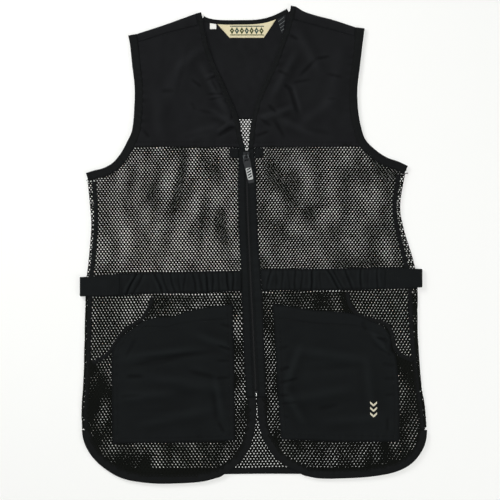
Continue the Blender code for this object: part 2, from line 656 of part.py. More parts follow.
def build_back_net(fronts, net):
    """Flat on the surface, and round both sides to the side seams between the armholes and the hem."""
    left, right = fronts
    arm_rows = 8
    side, over = [], []
    for front in fronts:
        top_y = front.side_top()
        line = front.side_stations(front.side_rows, top_y)
        seam = front.side_stations(front.seam_rows, top_y)
        outward = np.tile([front.out, 0.0], (len(line), 1))
        turned = fold_over(line, outward, seam)
        over.append(turned)
        arm = at(front.arm_in, np.linspace(front.back_yoke_share, 1, arm_rows + 1))[:-1]
        side.append(np.vstack([arm, turned[-1][:, :2]])[::-1])
    bottom = back_hem_lines()[1]
    columns = len(bottom) - 1
    side[0][0], side[1][0] = bottom[0], bottom[-1]
    top = evenly(np.array([side[0][-1], side[1][-1]]), columns)
    plan = patch(bottom, top, side[0], side[1])
    flat = inset(plan, SEAM_GAP / 2)
    side_rows = len(over[0][0])
    flat[:side_rows, 0], flat[:side_rows, -1] = plan[:side_rows, 0], plan[:side_rows, -1]
    flat = np.dstack([flat, np.full(flat.shape[:2], BACK_LEVEL)])
    rows = len(flat)
    turn_columns = len(over[0]) - 1
    wings = []
    for turned in over:
        wing = np.zeros((rows, turn_columns, 3))
        for k in range(turn_columns):
            wing[:side_rows, k] = turned[k][::-1]
            wing[side_rows:, k] = turned[k][0]
        wings.append(wing)
    wings[0][:, 0, 0] -= SEAM_GAP / 2
    wings[1][:, 0, 0] += SEAM_GAP / 2
    points = np.concatenate([wings[0], flat, wings[1][:, ::-1]], axis=1)
    points[side_rows - 1, :turn_columns, 1] -= SEAM_GAP
    points[side_rows - 1, -turn_columns:, 1] -= SEAM_GAP
    points[0, :turn_columns + 1, 1] += SEAM_GAP
    points[0, -turn_columns - 1:, 1] += SEAM_GAP

    def keep(row, column):
        return row < side_rows - 1 or turn_columns <= column < turn_columns + columns

    sheet("back_net", points, WALL, net, keep)


def build_back_bindings(cloth):
    level_sheet("back_neck_binding", strip(*back_neck_lines()), BACK_BINDING_LEVEL, BINDING_WALL, cloth)
    level_sheet("back_hem_binding", strip(*back_hem_lines()), BACK_BINDING_LEVEL, BINDING_WALL, cloth)


def build_labels(label, tag, care):
    """The neck label and its two tags hang from the back neck binding onto the back yoke."""
    pieces = (
        ("neck_label", label, (-56, 35), [(-37, 320.5), (16, 320.5)], 6),
        ("size_tag", tag, (-67.5, -57.5), [(-67.5, 334), (-57.5, 334)], 2),
        ("care_tag", care, (36.5, 50.5), [(43, 327), (46, 327)], 2),
    )
    seam = back_neck_lines()[1]
    for name, finish, (start, end), bottom, columns in pieces:
        x = np.linspace(start, end, columns + 1)
        top = np.column_stack([x, np.interp(x, seam[:, 0], seam[:, 1]) - 2 * SEAM_GAP])
        low = evenly(np.array(bottom, float), columns)
        level_sheet(name, strip(low, top), LABEL_LEVEL, LABEL_WALL, finish, gap=0)


def box(name, size, centre, finish, bevel=0.3, turn=0.0, tilt=0.0):
    """A bevelled block. turn is about Z and tilt about its own X, in radians."""
    mesh = bpy.data.meshes.new(name)
    bm = bmesh.new()
    bmesh.ops.create_cube(bm, size=1)
    for vert in bm.verts:
        vert.co = [vert.co[k] * size[k] * MM for k in range(3)]
    bm.to_mesh(mesh)
    bm.free()
    made = add_object(name, mesh, finish)
    made.location = [value * MM for value in centre]
    made.rotation_euler = (tilt, 0, turn)
    if bevel:
        edge = made.modifiers.new("rounded edges", "BEVEL")
        edge.width = bevel * MM
        edge.segments = 2
    return made


def join(target, others, operation="UNION"):
    for other in others:
        change = target.modifiers.new(other.name, "BOOLEAN")
        change.operation = operation
        change.object = other
        other.hide_render = True
        other.display_type = "WIRE"
        vest.objects.unlink(other)
        cutters.objects.link(other)


def pivot():
    """The pull's pin lies under the slider's bridge."""
    z = SLIDER_BOTTOM + SLIDER_HEIGHT + PULL_PIN_CLEAR + PULL_PIN_RADIUS
    return np.array([PULL_X, SLIDER_Y, z])


def build_slider(metal):
    top = SLIDER_BOTTOM + SLIDER_HEIGHT
    body = box("zip_slider", (SLIDER_WIDTH, SLIDER_LENGTH, SLIDER_HEIGHT),
               (SLIDER_X, SLIDER_Y, SLIDER_BOTTOM + SLIDER_HEIGHT / 2), metal, bevel=0.7)
    sink, lip = 0.5, 0.2
    posts = []
    for k in (-1, 1):
        y = SLIDER_Y + k * (BRIDGE_LENGTH / 2 - BRIDGE_WALL / 2 - lip)
        height = BRIDGE_HEIGHT + sink - BRIDGE_WALL / 2
        posts.append(box(f"bridge_post_{k}", (BRIDGE_WIDTH - 2 * lip, BRIDGE_WALL, height),
                         (SLIDER_X, y, top + height / 2 - sink), metal, bevel=0))
    beam = box("bridge_beam", (BRIDGE_WIDTH, BRIDGE_LENGTH, BRIDGE_WALL),
               (SLIDER_X, SLIDER_Y, top + BRIDGE_HEIGHT - BRIDGE_WALL / 2), metal, bevel=0)
    join(body, [*posts, beam])


def build_pull_tab(rubber):
    """A flat tab on a pin, leaning a little to one side and down onto the zip."""
    x, y, z = pivot()
    drop = z - PULL_WALL / 2 - SEAM_GAP - (PLACKET_LEVEL + PLACKET_WALL / 2)
    slope = math.asin(drop / PULL_LENGTH)
    lean = math.radians(PULL_LEAN_DEG)
    made = box("zip_pull_tab", (PULL_WIDTH, PULL_LENGTH, PULL_WALL), (0, 0, 0), rubber, bevel=0.5)
    for vert in made.data.vertices:
        vert.co.y -= (PULL_LENGTH / 2 - PULL_PIN_RADIUS) * MM
        if vert.co.y < -PULL_LENGTH * MM / 2:
            vert.co.x *= 0.84
    eye = box("pull_eye", (PULL_EYE_WIDTH, PULL_EYE_LENGTH, 4 * PULL_WALL), (0, 0, 0), rubber, bevel=0)
    for vert in eye.data.vertices:
        vert.co.y -= (PULL_EYE_LENGTH / 2 + PULL_PIN_RADIUS) * MM
    for piece in (made, eye):
        piece.location = (x * MM, y * MM, z * MM)
        piece.rotation_euler = (slope, 0, lean)
    join(made, [eye], "DIFFERENCE")


def build_stop(metal):
    """The bottom stop straddles the zip's end, flush between the plackets' ends."""
    x, y = ZIP_LINE[-1]
    middle = (x, y + STOP_LENGTH / 2 + 1, TAPE_LEVEL + TAPE_WALL / 2 + SEAM_GAP + 0.7)
    box("zip_stop", (STOP_WIDTH - 0.8, STOP_LENGTH, 1.4), middle, metal, bevel=0.35)


for old in list(bpy.data.objects):
    bpy.data.objects.remove(old, do_unlink=True)
vest = bpy.data.collections.new("shooting_vest")
cutters = bpy.data.collections.new("cutters")
bpy.context.scene.collection.children.link(vest)
bpy.context.scene.collection.children.link(cutters)

cloth = material("shell_cloth", CLOTH, 0.85)
net = material("net", NET, 0.8)
tape = material("zip_tape", (0.014, 0.014, 0.016), 0.7)
metal = material("dark_metal", (0.03, 0.03, 0.034), 0.35, 0.9)
silver = material("bright_metal", (0.75, 0.75, 0.74), 0.3, 1.0)
rubber = material("pull_rubber", (0.018, 0.018, 0.02), 0.5)
label = material("label_cloth", LABEL, 0.8)
tag = material("tag_cloth", (0.85, 0.84, 0.8), 0.8)
care = material("care_tag_cloth", (0.05, 0.055, 0.06), 0.7)

fronts = [Front("left"), Front("right")]
build_back_yoke(fronts, cloth)
build_back_net(fronts, net)
build_back_bindings(cloth)
for front in fronts:
    build_armhole_bindings(front, cloth)
    build_neck_binding(front, cloth)
    build_front_yoke(front, cloth)
    build_front_net(front, net)
    build_side_band(front, cloth)
    build_hem_binding(front, cloth)
    build_zip_side(front, cloth, tape)
    build_zip_patch(front, cloth)
    build_belt(front, cloth)
    build_belt_tab(front, cloth)
    build_hand_pocket(front, net, cloth)
    build_patch_pocket(front, cloth)
build_labels(label, tag, care)
build_slider(metal)
build_pull_tab(rubber)
build_stop(silver)
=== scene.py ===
import math

import bmesh
import bpy
import numpy as np
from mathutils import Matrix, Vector
from mathutils.bvhtree import BVHTree


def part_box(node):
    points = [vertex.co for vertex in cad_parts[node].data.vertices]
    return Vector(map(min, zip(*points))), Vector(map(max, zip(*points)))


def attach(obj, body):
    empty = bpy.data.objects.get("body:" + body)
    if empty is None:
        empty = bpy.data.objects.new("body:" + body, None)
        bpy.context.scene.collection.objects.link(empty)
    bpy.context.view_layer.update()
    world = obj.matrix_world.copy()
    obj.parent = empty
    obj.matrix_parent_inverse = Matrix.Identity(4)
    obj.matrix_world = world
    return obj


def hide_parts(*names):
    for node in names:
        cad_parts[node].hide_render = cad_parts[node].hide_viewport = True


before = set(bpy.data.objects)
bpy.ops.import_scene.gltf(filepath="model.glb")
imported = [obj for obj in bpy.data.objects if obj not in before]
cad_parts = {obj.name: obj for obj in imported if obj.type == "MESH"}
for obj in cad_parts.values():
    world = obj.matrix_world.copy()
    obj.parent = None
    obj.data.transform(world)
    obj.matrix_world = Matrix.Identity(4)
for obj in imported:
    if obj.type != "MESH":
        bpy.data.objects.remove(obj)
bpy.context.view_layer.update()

# Millimetres in the tables, metres in the meshes
MM = 0.001

# Heights of each layer's middle over the surface
BACK_LEVEL = 0.6
BACK_BINDING_LEVEL = 0.9
LABEL_LEVEL = 2.0
FOLD_RADIUS = 1.2
FRONT_LEVEL = BACK_LEVEL + 2 * FOLD_RADIUS
PLACKET_LEVEL = 3.6
TAPE_LEVEL = 3.2
HAND_POCKET_LEVEL = 4.8
ZIP_PATCH_LEVEL = 4.6
BELT_LEVEL = 5.0
PATCH_POCKET_LEVEL = 6.5

WALL, BINDING_WALL, PLACKET_WALL, BELT_WALL, LABEL_WALL = 1.1, 1.8, 2.5, 1.6, 0.7
ARMHOLE_BINDING, NECK_BINDING, BACK_NECK_BINDING = 13.5, 8.5, 8.0
HEM_BINDING, BACK_HEM_BINDING, SIDE_BAND, HAND_BINDING = 14.0, 9.5, 7.0, 6.0
ZIP_WIDTH_TOP, ZIP_WIDTH_BOTTOM = 4.2, 6.6
SEAM_GAP = 0.3
BACK_YOKE_Y, YOKE_Y = 193.0, 150.0
FOLDS_END_Y, FOLDS_FADE = 2.0, 26.0

# The net: its loop, a hole's share of it, how much wider and taller it hangs below the belt, and its corners
NET_PITCH, NET_HOLE = (4.85, 3.42), 0.57
NET_SPREAD, NET_DROP = 1.10, 1.18
NET_LOW, NET_HIGH = (-290, -325), (290, 205)
# How far off the back net the fronts and the hand pockets lie, and how much that drifts
FRONT_LAY, FRONT_DRIFT, FRONT_DRIFT_SIZE, RIGHT_FURTHER = (1.05, 0.75), 0.42, 34.0, 1.12
POCKET_LAY, POCKET_DRIFT, POCKET_DRIFT_SIZE = (0.57, 0.40), 0.36, 30.0
# How much longer than wide the drift's streaks are, and the furthest that a layer lies off
STREAK_LONG, FURTHEST = 1.9, 2.15
# The back net's smaller holes between the curved hems and along the lower sides
GAP_HOLE, SIDE_HOLE, LOWER_SIDE_Y = 0.35, 0.24, -80.0

# How far cloth runs on under the binding or placket that covers its edge
UNDER, NET_UNDER = 2.5, 6.0
# How far inside its side line the back net turns, and the lower end and inner limit of that turned edge
TURN_INSET, TURN_LOW_Y, TURN_FROM_X = 0.4, -284.0, 200.0
# Rows of stitches, as shares across a strip or as distances in from an edge
PLACKET_SEAMS, BELT_SEAMS, HEM_SEAM = (0.16, 0.84), (0.075, 0.925), 0.86
YOKE_SEAMS, POCKET_SEAMS, POCKET_TOP_SEAM = (2.2, 8.0), (2.0, 8.2), 21.0
# The least side of a sheet's flat cut, in metres, and how much longer the belt is before it is gathered
LEAST_SIDE, GATHERED = 0.01, 1.4

# Edges of the laid garment
ARM_EDGE = {
    "left": [(-194, 324), (-191, 308), (-188, 279), (-184, 243), (-185, 206), (-188, 178), (-195, 161),
             (-206, 141), (-218, 127), (-232, 119), (-247, 115), (-259.5, 111)],
    "right": [(172, 335), (169, 311), (165, 277), (161, 243), (162, 209), (167, 181), (174, 162),
              (190, 146), (207, 135), (224, 129), (239, 122)],
}
NECK_EDGE = {
    "left": [(-81, 360), (-77, 342), (-71, 314), (-62, 286), (-50, 260), (-37, 230), (-23, 198),
             (-18, 168), (-12, 146)],
    "right": [(58, 370.2), (53, 345), (44, 320), (38, 302), (29, 277), (16, 252), (6, 227),
              (-2.5, 196), (-6.6, 165), (-7.9, 146)],
}
BACK_NECK_EDGE = [(-81, 359.5), (-74, 353), (-63, 349.5), (-46, 348), (-21, 348), (1, 348.5),
                  (18, 351), (33, 356), (46, 362.5), (58, 369.5)]
HEM_EDGE = {
    "left": [(-266, -287), (-263, -304), (-255, -321), (-243, -336), (-227, -349), (-208, -360),
             (-184, -366.5), (-150, -370), (-114, -369.5), (-80, -367), (-52, -360)],
    "right": [(269, -287), (267, -304), (260, -321), (247, -337), (230, -348), (208, -355),
              (174, -360), (134, -362), (103, -362), (80, -358)],
}
FRONT_CURVE = {
    "left": [(-52, -360), (-38, -351), (-25.6, -341.8), (-13.5, -327.5), (-5.4, -314), (-1.2, -300),
             (2.0, -285.7), (4.0, -270), (4.6, -252), (3.6, -236)],
    "right": [(80, -358), (63, -350), (48.5, -342), (37, -333), (27.6, -323), (20.5, -312), (14, -299),
              (10.4, -286.5), (7.8, -274), (6.4, -258), (5.4, -245), (4.6, -236)],
}
BACK_HEM_EDGE = [(-265, -287), (-261, -304), (-253, -320), (-241, -334), (-226, -344), (-204, -352),
                 (-160, -356), (-83, -356), (5, -355), (88, -355), (165, -354), (208, -349),
                 (230, -342), (247, -331), (259, -316), (265, -302), (268, -287)]

# The sides: y, x where the back turns over, x of the side seam on the front
SIDE = {
    "left": [(106, -258.5, -251), (63, -254, -248), (26, -252, -247.5), (-24, -256, -251.5),
             (-62, -260, -256), (-132, -262, -258), (-210, -264, -260), (-253, -267, -262.5),
             (-287, -266, -261.5)],
    "right": [(118, 237, 230), (63, 228, 222), (26, 233, 226), (-24, 248, 238), (-62, 254.5, 245),
              (-132, 255, 248), (-210, 260, 255.5), (-253, 266.5, 261.5), (-287, 269, 264.5)],
}
ZIP_LINE = [(-10, 146), (-10, 85), (-7, 7), (-4, -62), (0, -148), (4.1, -236)]
PLACKET_EDGE = {
    "left": [(-21, 150), (-24, 108), (-24, 62), (-22, 7), (-19, -39), (-18, -86), (-16, -148),
             (-14, -194), (-11, -236)],
    "right": [(3, 150), (4, 108), (5, 62), (7.5, 7), (10.5, -39), (14, -86), (16.5, -148),
              (18, -194), (19, -236)],
}
SHOULDER = {"left": [(-138, 340.5)], "right": [(123, 348.3), (98, 354.8), (79, 361)]}
FORWARD_SEAM = {"left": [(-191, 314), (-137, 327), (-88, 340)],
                "right": [(171, 323), (119, 334), (67, 349)]}

# The belt: x, y of its top edge and y of its bottom edge, from the side to the zip
BELT = {
    "left": [(-207, -44.5, -78.5), (-160, -43, -76.5), (-114, -42, -75), (-60, -41, -73.5),
             (-20.2, -40, -72)],
    "right": [(204, -35, -69), (160, -36, -69.5), (119, -37, -70), (60, -37.5, -70.5),
              (14.2, -38, -71)],
}
BELT_TAB = {
    "left": [(-207, -44.5, -78.5), (-228, -47, -79.5), (-249, -49, -80), (-269, -50, -80)],
    "right": [(204, -35, -69), (224, -35.5, -68.5), (243, -36.5, -67.5), (261.5, -37.5, -66)],
}
# Creases in the gathered belt: x at its top edge, x at its bottom edge, width, depth
BELT_CREASES = {
    "left": [(-204.5, -204.5, 1.8, 0.9), (-181, -197, 2.2, 2.6), (-170, -186, 2.0, 1.0),
             (-152.7, -141, 2.2, 2.0), (-143, -131, 1.6, 0.9), (-130, -121, 1.8, 1.3),
             (-117, -113, 1.6, 0.7), (-106, -108, 1.6, 0.8),
             (-95, -88, 1.8, 1.2), (-84, -80, 1.6, 0.8), (-75, -69.4, 1.9, 2.4), (-63.5, -63, 1.6, 1.2),
             (-53, -54, 1.6, 0.9), (-42.7, -37.3, 1.8, 1.9), (-31.8, -31.8, 1.8, 1.5)],
    "right": [(26.7, 20, 1.8, 1.4), (36, 34, 1.6, 0.7), (44.6, 44.6, 1.6, 1.0), (54, 55, 1.5, 0.6),
              (64.3, 64.3, 1.6, 1.1), (75.3, 74, 1.6, 0.9), (92, 88.7, 1.9, 2.3), (103, 104, 1.6, 0.7),
              (113, 133, 2.0, 2.4), (122.5, 138, 1.6, 1.1), (141.8, 152, 1.9, 1.7), (166, 166, 1.7, 1.3),
              (178, 177, 1.5, 0.6), (191.6, 191.6, 1.6, 1.1)],
}
HAND_MOUTH = {
    "left": [(-159, -80), (-164, -95), (-174, -112), (-195, -126), (-208, -138), (-218, -153),
             (-230, -169), (-251, -181)],
    "right": [(148, -73), (153, -93), (166, -107), (187, -114), (208, -121), (217, -137),
              (221, -157), (231, -169), (248, -176)],
}
PATCH_TOP = {
    "left": [(-168, -117), (-145, -112), (-123, -111), (-106, -104), (-74, -97), (-32, -92)],
    "right": [(200, -125), (184, -119), (150, -106), (91, -101), (55, -95), (29, -92)],
}
PATCH_OUTER = {
    "left": [(-218, -308), (-219, -241), (-219, -170), (-211, -152), (-202, -141), (-188, -131),
             (-176, -122), (-168, -117)],
    "right": [(226, -305), (226, -241), (221, -178), (214, -163), (211, -141), (200, -125)],
}
PATCH_INNER = {"left": [(-29, -303), (-29.5, -210), (-32, -92)],
               "right": [(43, -301.5), (38, -241), (33, -140), (29, -92)]}
PATCH_BOTTOM = {"left": [(-218, -308), (-160, -307), (-98, -306), (-29, -303)],
                "right": [(226, -305), (134, -304.5), (43, -301.5)]}

# Soft folds and sharper creases: x, y, direction deg, length, width, height
FRONT_FOLDS = [
    (-58, 236, 118, 100, 9, 4.0), (-46, 196, 152, 46, 6, 2.6), (-72, 178, 20, 70, 9, 2.2),
    (-120, 262, 65, 110, 14, 3.0), (-150, 205, 95, 80, 12, 2.4), (-96, 292, 40, 60, 9, 2.0),
    (46, 262, 62, 84, 8, 3.4), (34, 204, 20, 56, 6, 2.6), (64, 184, 155, 60, 8, 2.2),
    (84, 300, 120, 74, 10, 2.6), (124, 250, 78, 110, 14, 3.2), (96, 206, 40, 60, 9, 2.0),
    (-150, 70, 100, 120, 15, 4.2), (-92, 36, 72, 120, 14, 3.6), (-52, 96, 110, 70, 10, 2.4),
    (-208, 30, 84, 90, 12, 3.0), (-60, 2, 15, 50, 9, 2.2), (-180, -6, 160, 60, 9, 2.2),
    (60, 84, 68, 110, 13, 3.4), (118, 44, 104, 130, 15, 4.4), (168, 92, 55, 80, 12, 3.0),
    (196, 26, 80, 90, 12, 3.2), (46, 10, 160, 50, 9, 2.2), (150, -4, 12, 60, 9, 2.0),
]
POCKET_FOLDS = [
    (-150, -170, 8, 110, 9, 2.4), (-104, -214, 172, 120, 11, 2.8), (-60, -150, 160, 60, 8, 2.2),
    (-164, -232, 4, 80, 9, 2.0), (-54, -236, 100, 70, 7, 1.8), (-120, -266, 12, 110, 10, 2.2),
    (196, -152, 128, 44, 6, 2.6), (60, -190, 70, 70, 8, 2.4), (120, -170, 172, 110, 10, 2.4),
    (100, -232, 10, 110, 11, 2.6), (178, -214, 96, 80, 9, 2.0), (62, -250, 120, 60, 8, 2.2),
    (150, -270, 4, 90, 9, 1.8),
]
YOKE_CREASES = [
    (-65, 258.5, 27, 18, 2.4, -1.3), (-65, 263, 27, 20, 3.2, 0.9), (-60, 246, 117, 22, 2.2, -1.2),
    (-88, 250, 142, 18, 2.4, -1.1), (-57, 233, 0, 26, 2.0, -1.3), (-56, 227, 12, 24, 2.0, -1.0),
    (-93, 215, 120, 14, 3.0, -0.6), (-42, 176, 30, 26, 2.4, -1.8), (-46, 182, 35, 24, 3.0, 1.6),
    (-166, 172, 130, 14, 2.5, -0.9), (-133, 238, 0, 18, 3.5, -1.0), (-70, 300, 100, 40, 3.4, -0.8),
    (-110, 270, 75, 70, 5.0, -0.7), (-32, 200, 60, 24, 2.6, -1.2), (-70, 205, 165, 30, 3.0, -0.8),
    (-140, 290, 85, 60, 6.0, -0.5), (-84, 172, 15, 44, 4.0, -0.7), (-24, 186, 110, 20, 2.2, -1.0),
    (63, 321, 150, 14, 2.4, -1.2), (46, 266, 154, 16, 2.4, -1.2), (54, 243, 140, 14, 2.4, -1.2),
    (62, 224, 107, 40, 2.6, -1.7), (68, 226, 107, 40, 3.2, 0.9), (30, 210, 135, 18, 2.4, -1.4),
    (85, 275, 45, 34, 3.0, -1.3), (108, 290, 10, 20, 2.6, -1.1), (126, 262, 168, 22, 2.6, -1.0),
    (75, 253.5, 10, 26, 2.6, -0.9), (121, 226, 0, 12, 2.2, -0.7), (18, 190, 145, 22, 2.4, -1.2),
    (14, 172, 20, 20, 2.4, -1.1), (100, 176, 170, 40, 4.0, -0.6), (40, 180, 120, 30, 3.0, -0.9),
]
POCKET_CREASES = [
    (-125, -172, 5, 110, 4.4, -1.5), (-150, -181, 8, 66, 4.0, -1.3), (-78, -201, 166, 44, 4.0, -1.1),
    (-184, -204, 0, 24, 3.4, -1.3), (-43, -160, 162, 24, 2.4, -1.5), (-41, -126, 163, 20, 2.4, -1.0),
    (-45, -180, 177, 22, 2.4, -0.9), (-46, -206, 0, 20, 2.4, -0.9), (-50, -283, 120, 18, 2.6, -1.1),
    (-150, -268, 2, 60, 4.0, -0.3), (-150, -256, 2, 60, 4.0, -0.2), (-110, -216, 2, 60, 5.0, -0.3),
    (-190, -234, 4, 30, 3.0, -0.8), (-60, -250, 95, 40, 4.0, -0.6), (-190, -160, 60, 30, 3.0, -0.8),
    (199, -146, 164, 20, 2.6, -1.8), (47.5, -192, 18, 16, 2.4, -1.8), (52, -211, 14, 30, 2.6, -1.4),
    (47, -233, 0, 18, 2.4, -1.3), (54, -245, 6, 28, 2.6, -1.0), (47, -266, 170, 14, 2.4, -1.1),
    (116, -251, 12, 30, 4.0, -0.8), (171, -126, 115, 14, 2.6, -1.1), (210, -186, 170, 20, 2.6, -1.1),
    (212, -207, 0, 18, 2.6, -0.9), (207, -278, 90, 20, 2.6, -0.9), (42, -160, 10, 22, 3.0, -1.0),
    (120, -190, 4, 90, 6.0, -0.7), (204, -166, 150, 20, 2.6, -1.0), (212, -232, 5, 16, 2.4, -0.8),
]

# Where folds close or open the fronts' net: x, y, direction deg, length, width, how much further it lies off
NET_CREASES = [
    (-115.5, 94, 76, 84, 6, 0.6), (-131, 53, 54, 50, 6, 0.4), (-90.7, 110, 71, 80, 6, 0.4),
    (-160, 80, 60, 60, 7, 0.4), (-83, 7, 88, 90, 7, 0.4), (-49.6, 26, 102, 56, 8, 0.8),
    (-104, 30, 68, 90, 9, -0.35), (-38, 20, 78, 70, 7, -0.2), (-190, 30, 60, 60, 8, -0.15),
    (46.5, 88, 127, 124, 9, 0.5), (98, 55, 38, 46, 8, 0.3), (36.4, 29, 153, 36, 8, 0.35),
    (139.5, 42, 77, 64, 9, 0.3), (207, 39, 93, 120, 11, 0.3), (199, 123, 128, 46, 9, 0.8),
    (122, 50, 20, 34, 12, -0.45), (178, 20, 118, 70, 8, -0.2), (80, 110, 150, 66, 12, -0.3),
    (70, 20, 165, 50, 9, -0.45), (-246, -70, 80, 60, 7, 0.4),
    (-232, -118, 72, 150, 32, 0.85), (212, -108, 128, 190, 38, 1.15),
]
# The same for the hand pockets
HAND_POCKET_CREASES = [
    (-148, -326, 80, 40, 8, -0.7), (88, -326, 82, 40, 8, -0.5), (130, -330, 70, 40, 8, -0.3),
    (168, -330, 78, 36, 8, -0.6), (-232, -250, 90, 60, 8, -0.8), (-200, -330, 30, 80, 14, 0.5),
    (210, -320, 150, 80, 14, 0.7), (23, -187, 91.6, 130, 7, -0.6), (-239, -250, 90, 95, 20, 1.1),
]

# The zip's hard pieces
SLIDER_X, SLIDER_Y = -11.2, 138.0
SLIDER_BOTTOM, SLIDER_HEIGHT = 5.1, 2.2
PULL_X, PULL_LEAN_DEG, PULL_LENGTH, PULL_WIDTH, PULL_WALL = -12.2, 12.0, 44.0, 11.2, 1.9
PIN_Z = 8.95


def dense(rows, steps=24):
    """A smooth curve through the rows, as many closely spaced points."""
    p = np.array(rows, float)
    p = np.vstack([2 * p[0] - p[1], p, 2 * p[-1] - p[-2]])
    t = np.linspace(0, 1, steps, endpoint=False)[:, None]
    spans = []
    for a, b, c, d in zip(p[:-3], p[1:-2], p[2:-1], p[3:]):
        spans.append(0.5 * (2 * b + (c - a) * t + (2 * a - 5 * b + 4 * c - d) * t**2
                            + (3 * b - a - 3 * c + d) * t**3))
    return np.vstack(spans + [p[-2]])


def run_of(curve):
    return np.concatenate([[0], np.cumsum(np.linalg.norm(np.diff(curve, axis=0), axis=1))])


def at(curve, shares):
    run = run_of(curve[:, :2])
    return np.column_stack([np.interp(shares, run / run[-1], curve[:, k]) for k in range(curve.shape[1])])


def evenly(curve, count):
    return at(curve, np.linspace(0, 1, count + 1))


def share_at_y(curve, y):
    run = run_of(curve[:, :2])
    i = np.nonzero(np.diff(np.sign(curve[:, 1] - y)))[0][0]
    step = (y - curve[i, 1]) / (curve[i + 1, 1] - curve[i, 1])
    return (run[i] + step * (run[i + 1] - run[i])) / run[-1]


def cut_at_y(line, y):
    """The line down to this height, where it ends."""
    kept = line[line[:, 1] > y]
    end = np.interp(y, line[::-1, 1], line[::-1, 0])
    return np.vstack([kept, [end, y]])


def beside(line, distance):
    """The line moved to its left by this distance."""
    tangent = np.gradient(line[:, :2], axis=0)
    tangent /= np.linalg.norm(tangent, axis=1)[:, None]
    return line[:, :2] + np.column_stack([-tangent[:, 1], tangent[:, 0]]) * distance


def part_of(curve, start, end):
    """The stretch of a curve between two shares of its length."""
    count = max(8, int(len(curve) * abs(end - start)))
    return at(curve, np.linspace(start, end, count))


def folds(x, y, table):
    lift = np.zeros(np.shape(x))
    for fx, fy, direction, length, width, height in table:
        turn = math.radians(direction)
        run = (x - fx) * math.cos(turn) + (y - fy) * math.sin(turn)
        across = -(x - fx) * math.sin(turn) + (y - fy) * math.cos(turn)
        lift += height * np.exp(-((across / width) ** 2) - (2 * run / length) ** 4)
    return lift


def waves(x, y, seed, size, count=9):
    """Gentle unevenness: crossing waves about this size, from about -1 to 1."""
    dice = np.random.default_rng(seed)
    total = np.zeros(np.shape(x))
    for _ in range(count):
        turn, phase = dice.uniform(0, 2 * math.pi, 2)
        length = size * dice.uniform(0.6, 1.6)
        total += np.sin((x * math.cos(turn) + y * math.sin(turn)) * 2 * math.pi / length + phase)
    return total / math.sqrt(count) * 0.8


def front_height(x, y):
    fade = np.clip((y - FOLDS_END_Y) / FOLDS_FADE, 0, 1)
    return FRONT_LEVEL + fade * folds(x, y, FRONT_FOLDS)


def patch(bottom, top, left, right):
    """Points between four edges, in rows from the bottom to the top."""
    u = np.linspace(0, 1, len(bottom))[None, :, None]
    v = np.linspace(0, 1, len(left))[:, None, None]
    ruled = (1 - v) * bottom[None] + v * top[None] + (1 - u) * left[:, None] + u * right[:, None]
    corners = ((1 - u) * (1 - v) * bottom[0] + u * (1 - v) * bottom[-1]
               + (1 - u) * v * top[0] + u * v * top[-1])
    return ruled - corners


def inside(polygon, x, y):
    hit = np.zeros(np.shape(x), bool)
    for (x0, y0), (x1, y1) in zip(polygon, np.roll(polygon, -1, axis=0)):
        if y0 != y1:
            hit ^= ((y0 > y) != (y1 > y)) & (x < (x1 - x0) * (y - y0) / (y1 - y0) + x0)
    return hit


# Materials
def node(tree, kind, links=(), **values):
    """A new node: _3=x sets its input 3, other names its options, and links are pairs of input and source."""
    made = tree.nodes.new(kind)
    for key, value in values.items():
        if key[0] == "_":
            made.inputs[int(key[1:])].default_value = value
        else:
            setattr(made, key, value)
    for place, source in links:
        tree.links.new(source, made.inputs[place])
    return made


def noise(tree, place, scale, detail):
    return node(tree, "ShaderNodeTexNoise", [(0, place)], _2=scale, _3=detail).outputs[0]


def bands(tree, place, direction, **values):
    return node(tree, "ShaderNodeTexWave", [(0, place)], bands_direction=direction, **values).outputs[1]


def times(tree, first, second):
    return node(tree, "ShaderNodeMath", [(0, first), (1, second)], operation="MULTIPLY").outputs[0]


def times_plus(tree, first, factor, more):
    made = node(tree, "ShaderNodeMath", [(0, first), (2, more)], operation="MULTIPLY_ADD", _1=factor)
    return made.outputs[0]


def material(name, inputs):
    """A material, its node tree and its shader, with these of the shader's inputs set."""
    made = bpy.data.materials.new(name)
    made.use_nodes = True
    shader = made.node_tree.nodes["Principled BSDF"]
    for title, value in inputs.items():
        shader.inputs[title].default_value = value
    return made, made.node_tree, shader


def dress(tree, shader, colour, rough, grain):
    """Links colour (dark, light, share), rough (least, most, share) and grain (strength, metres, relief)."""
    dark, light, share = colour
    mix = node(tree, "ShaderNodeMix", [(0, share)], data_type="RGBA", _6=(*dark, 1), _7=(*light, 1))
    gloss = node(tree, "ShaderNodeMapRange", [(0, rough[2])], _3=rough[0], _4=rough[1])
    bump = node(tree, "ShaderNodeBump", [(2, grain[2])], _0=grain[0], _1=grain[1])
    for title, source in (("Base Color", mix.outputs[2]), ("Roughness", gloss.outputs[0]),
                          ("Normal", bump.outputs[0])):
        tree.links.new(source, shader.inputs[title])


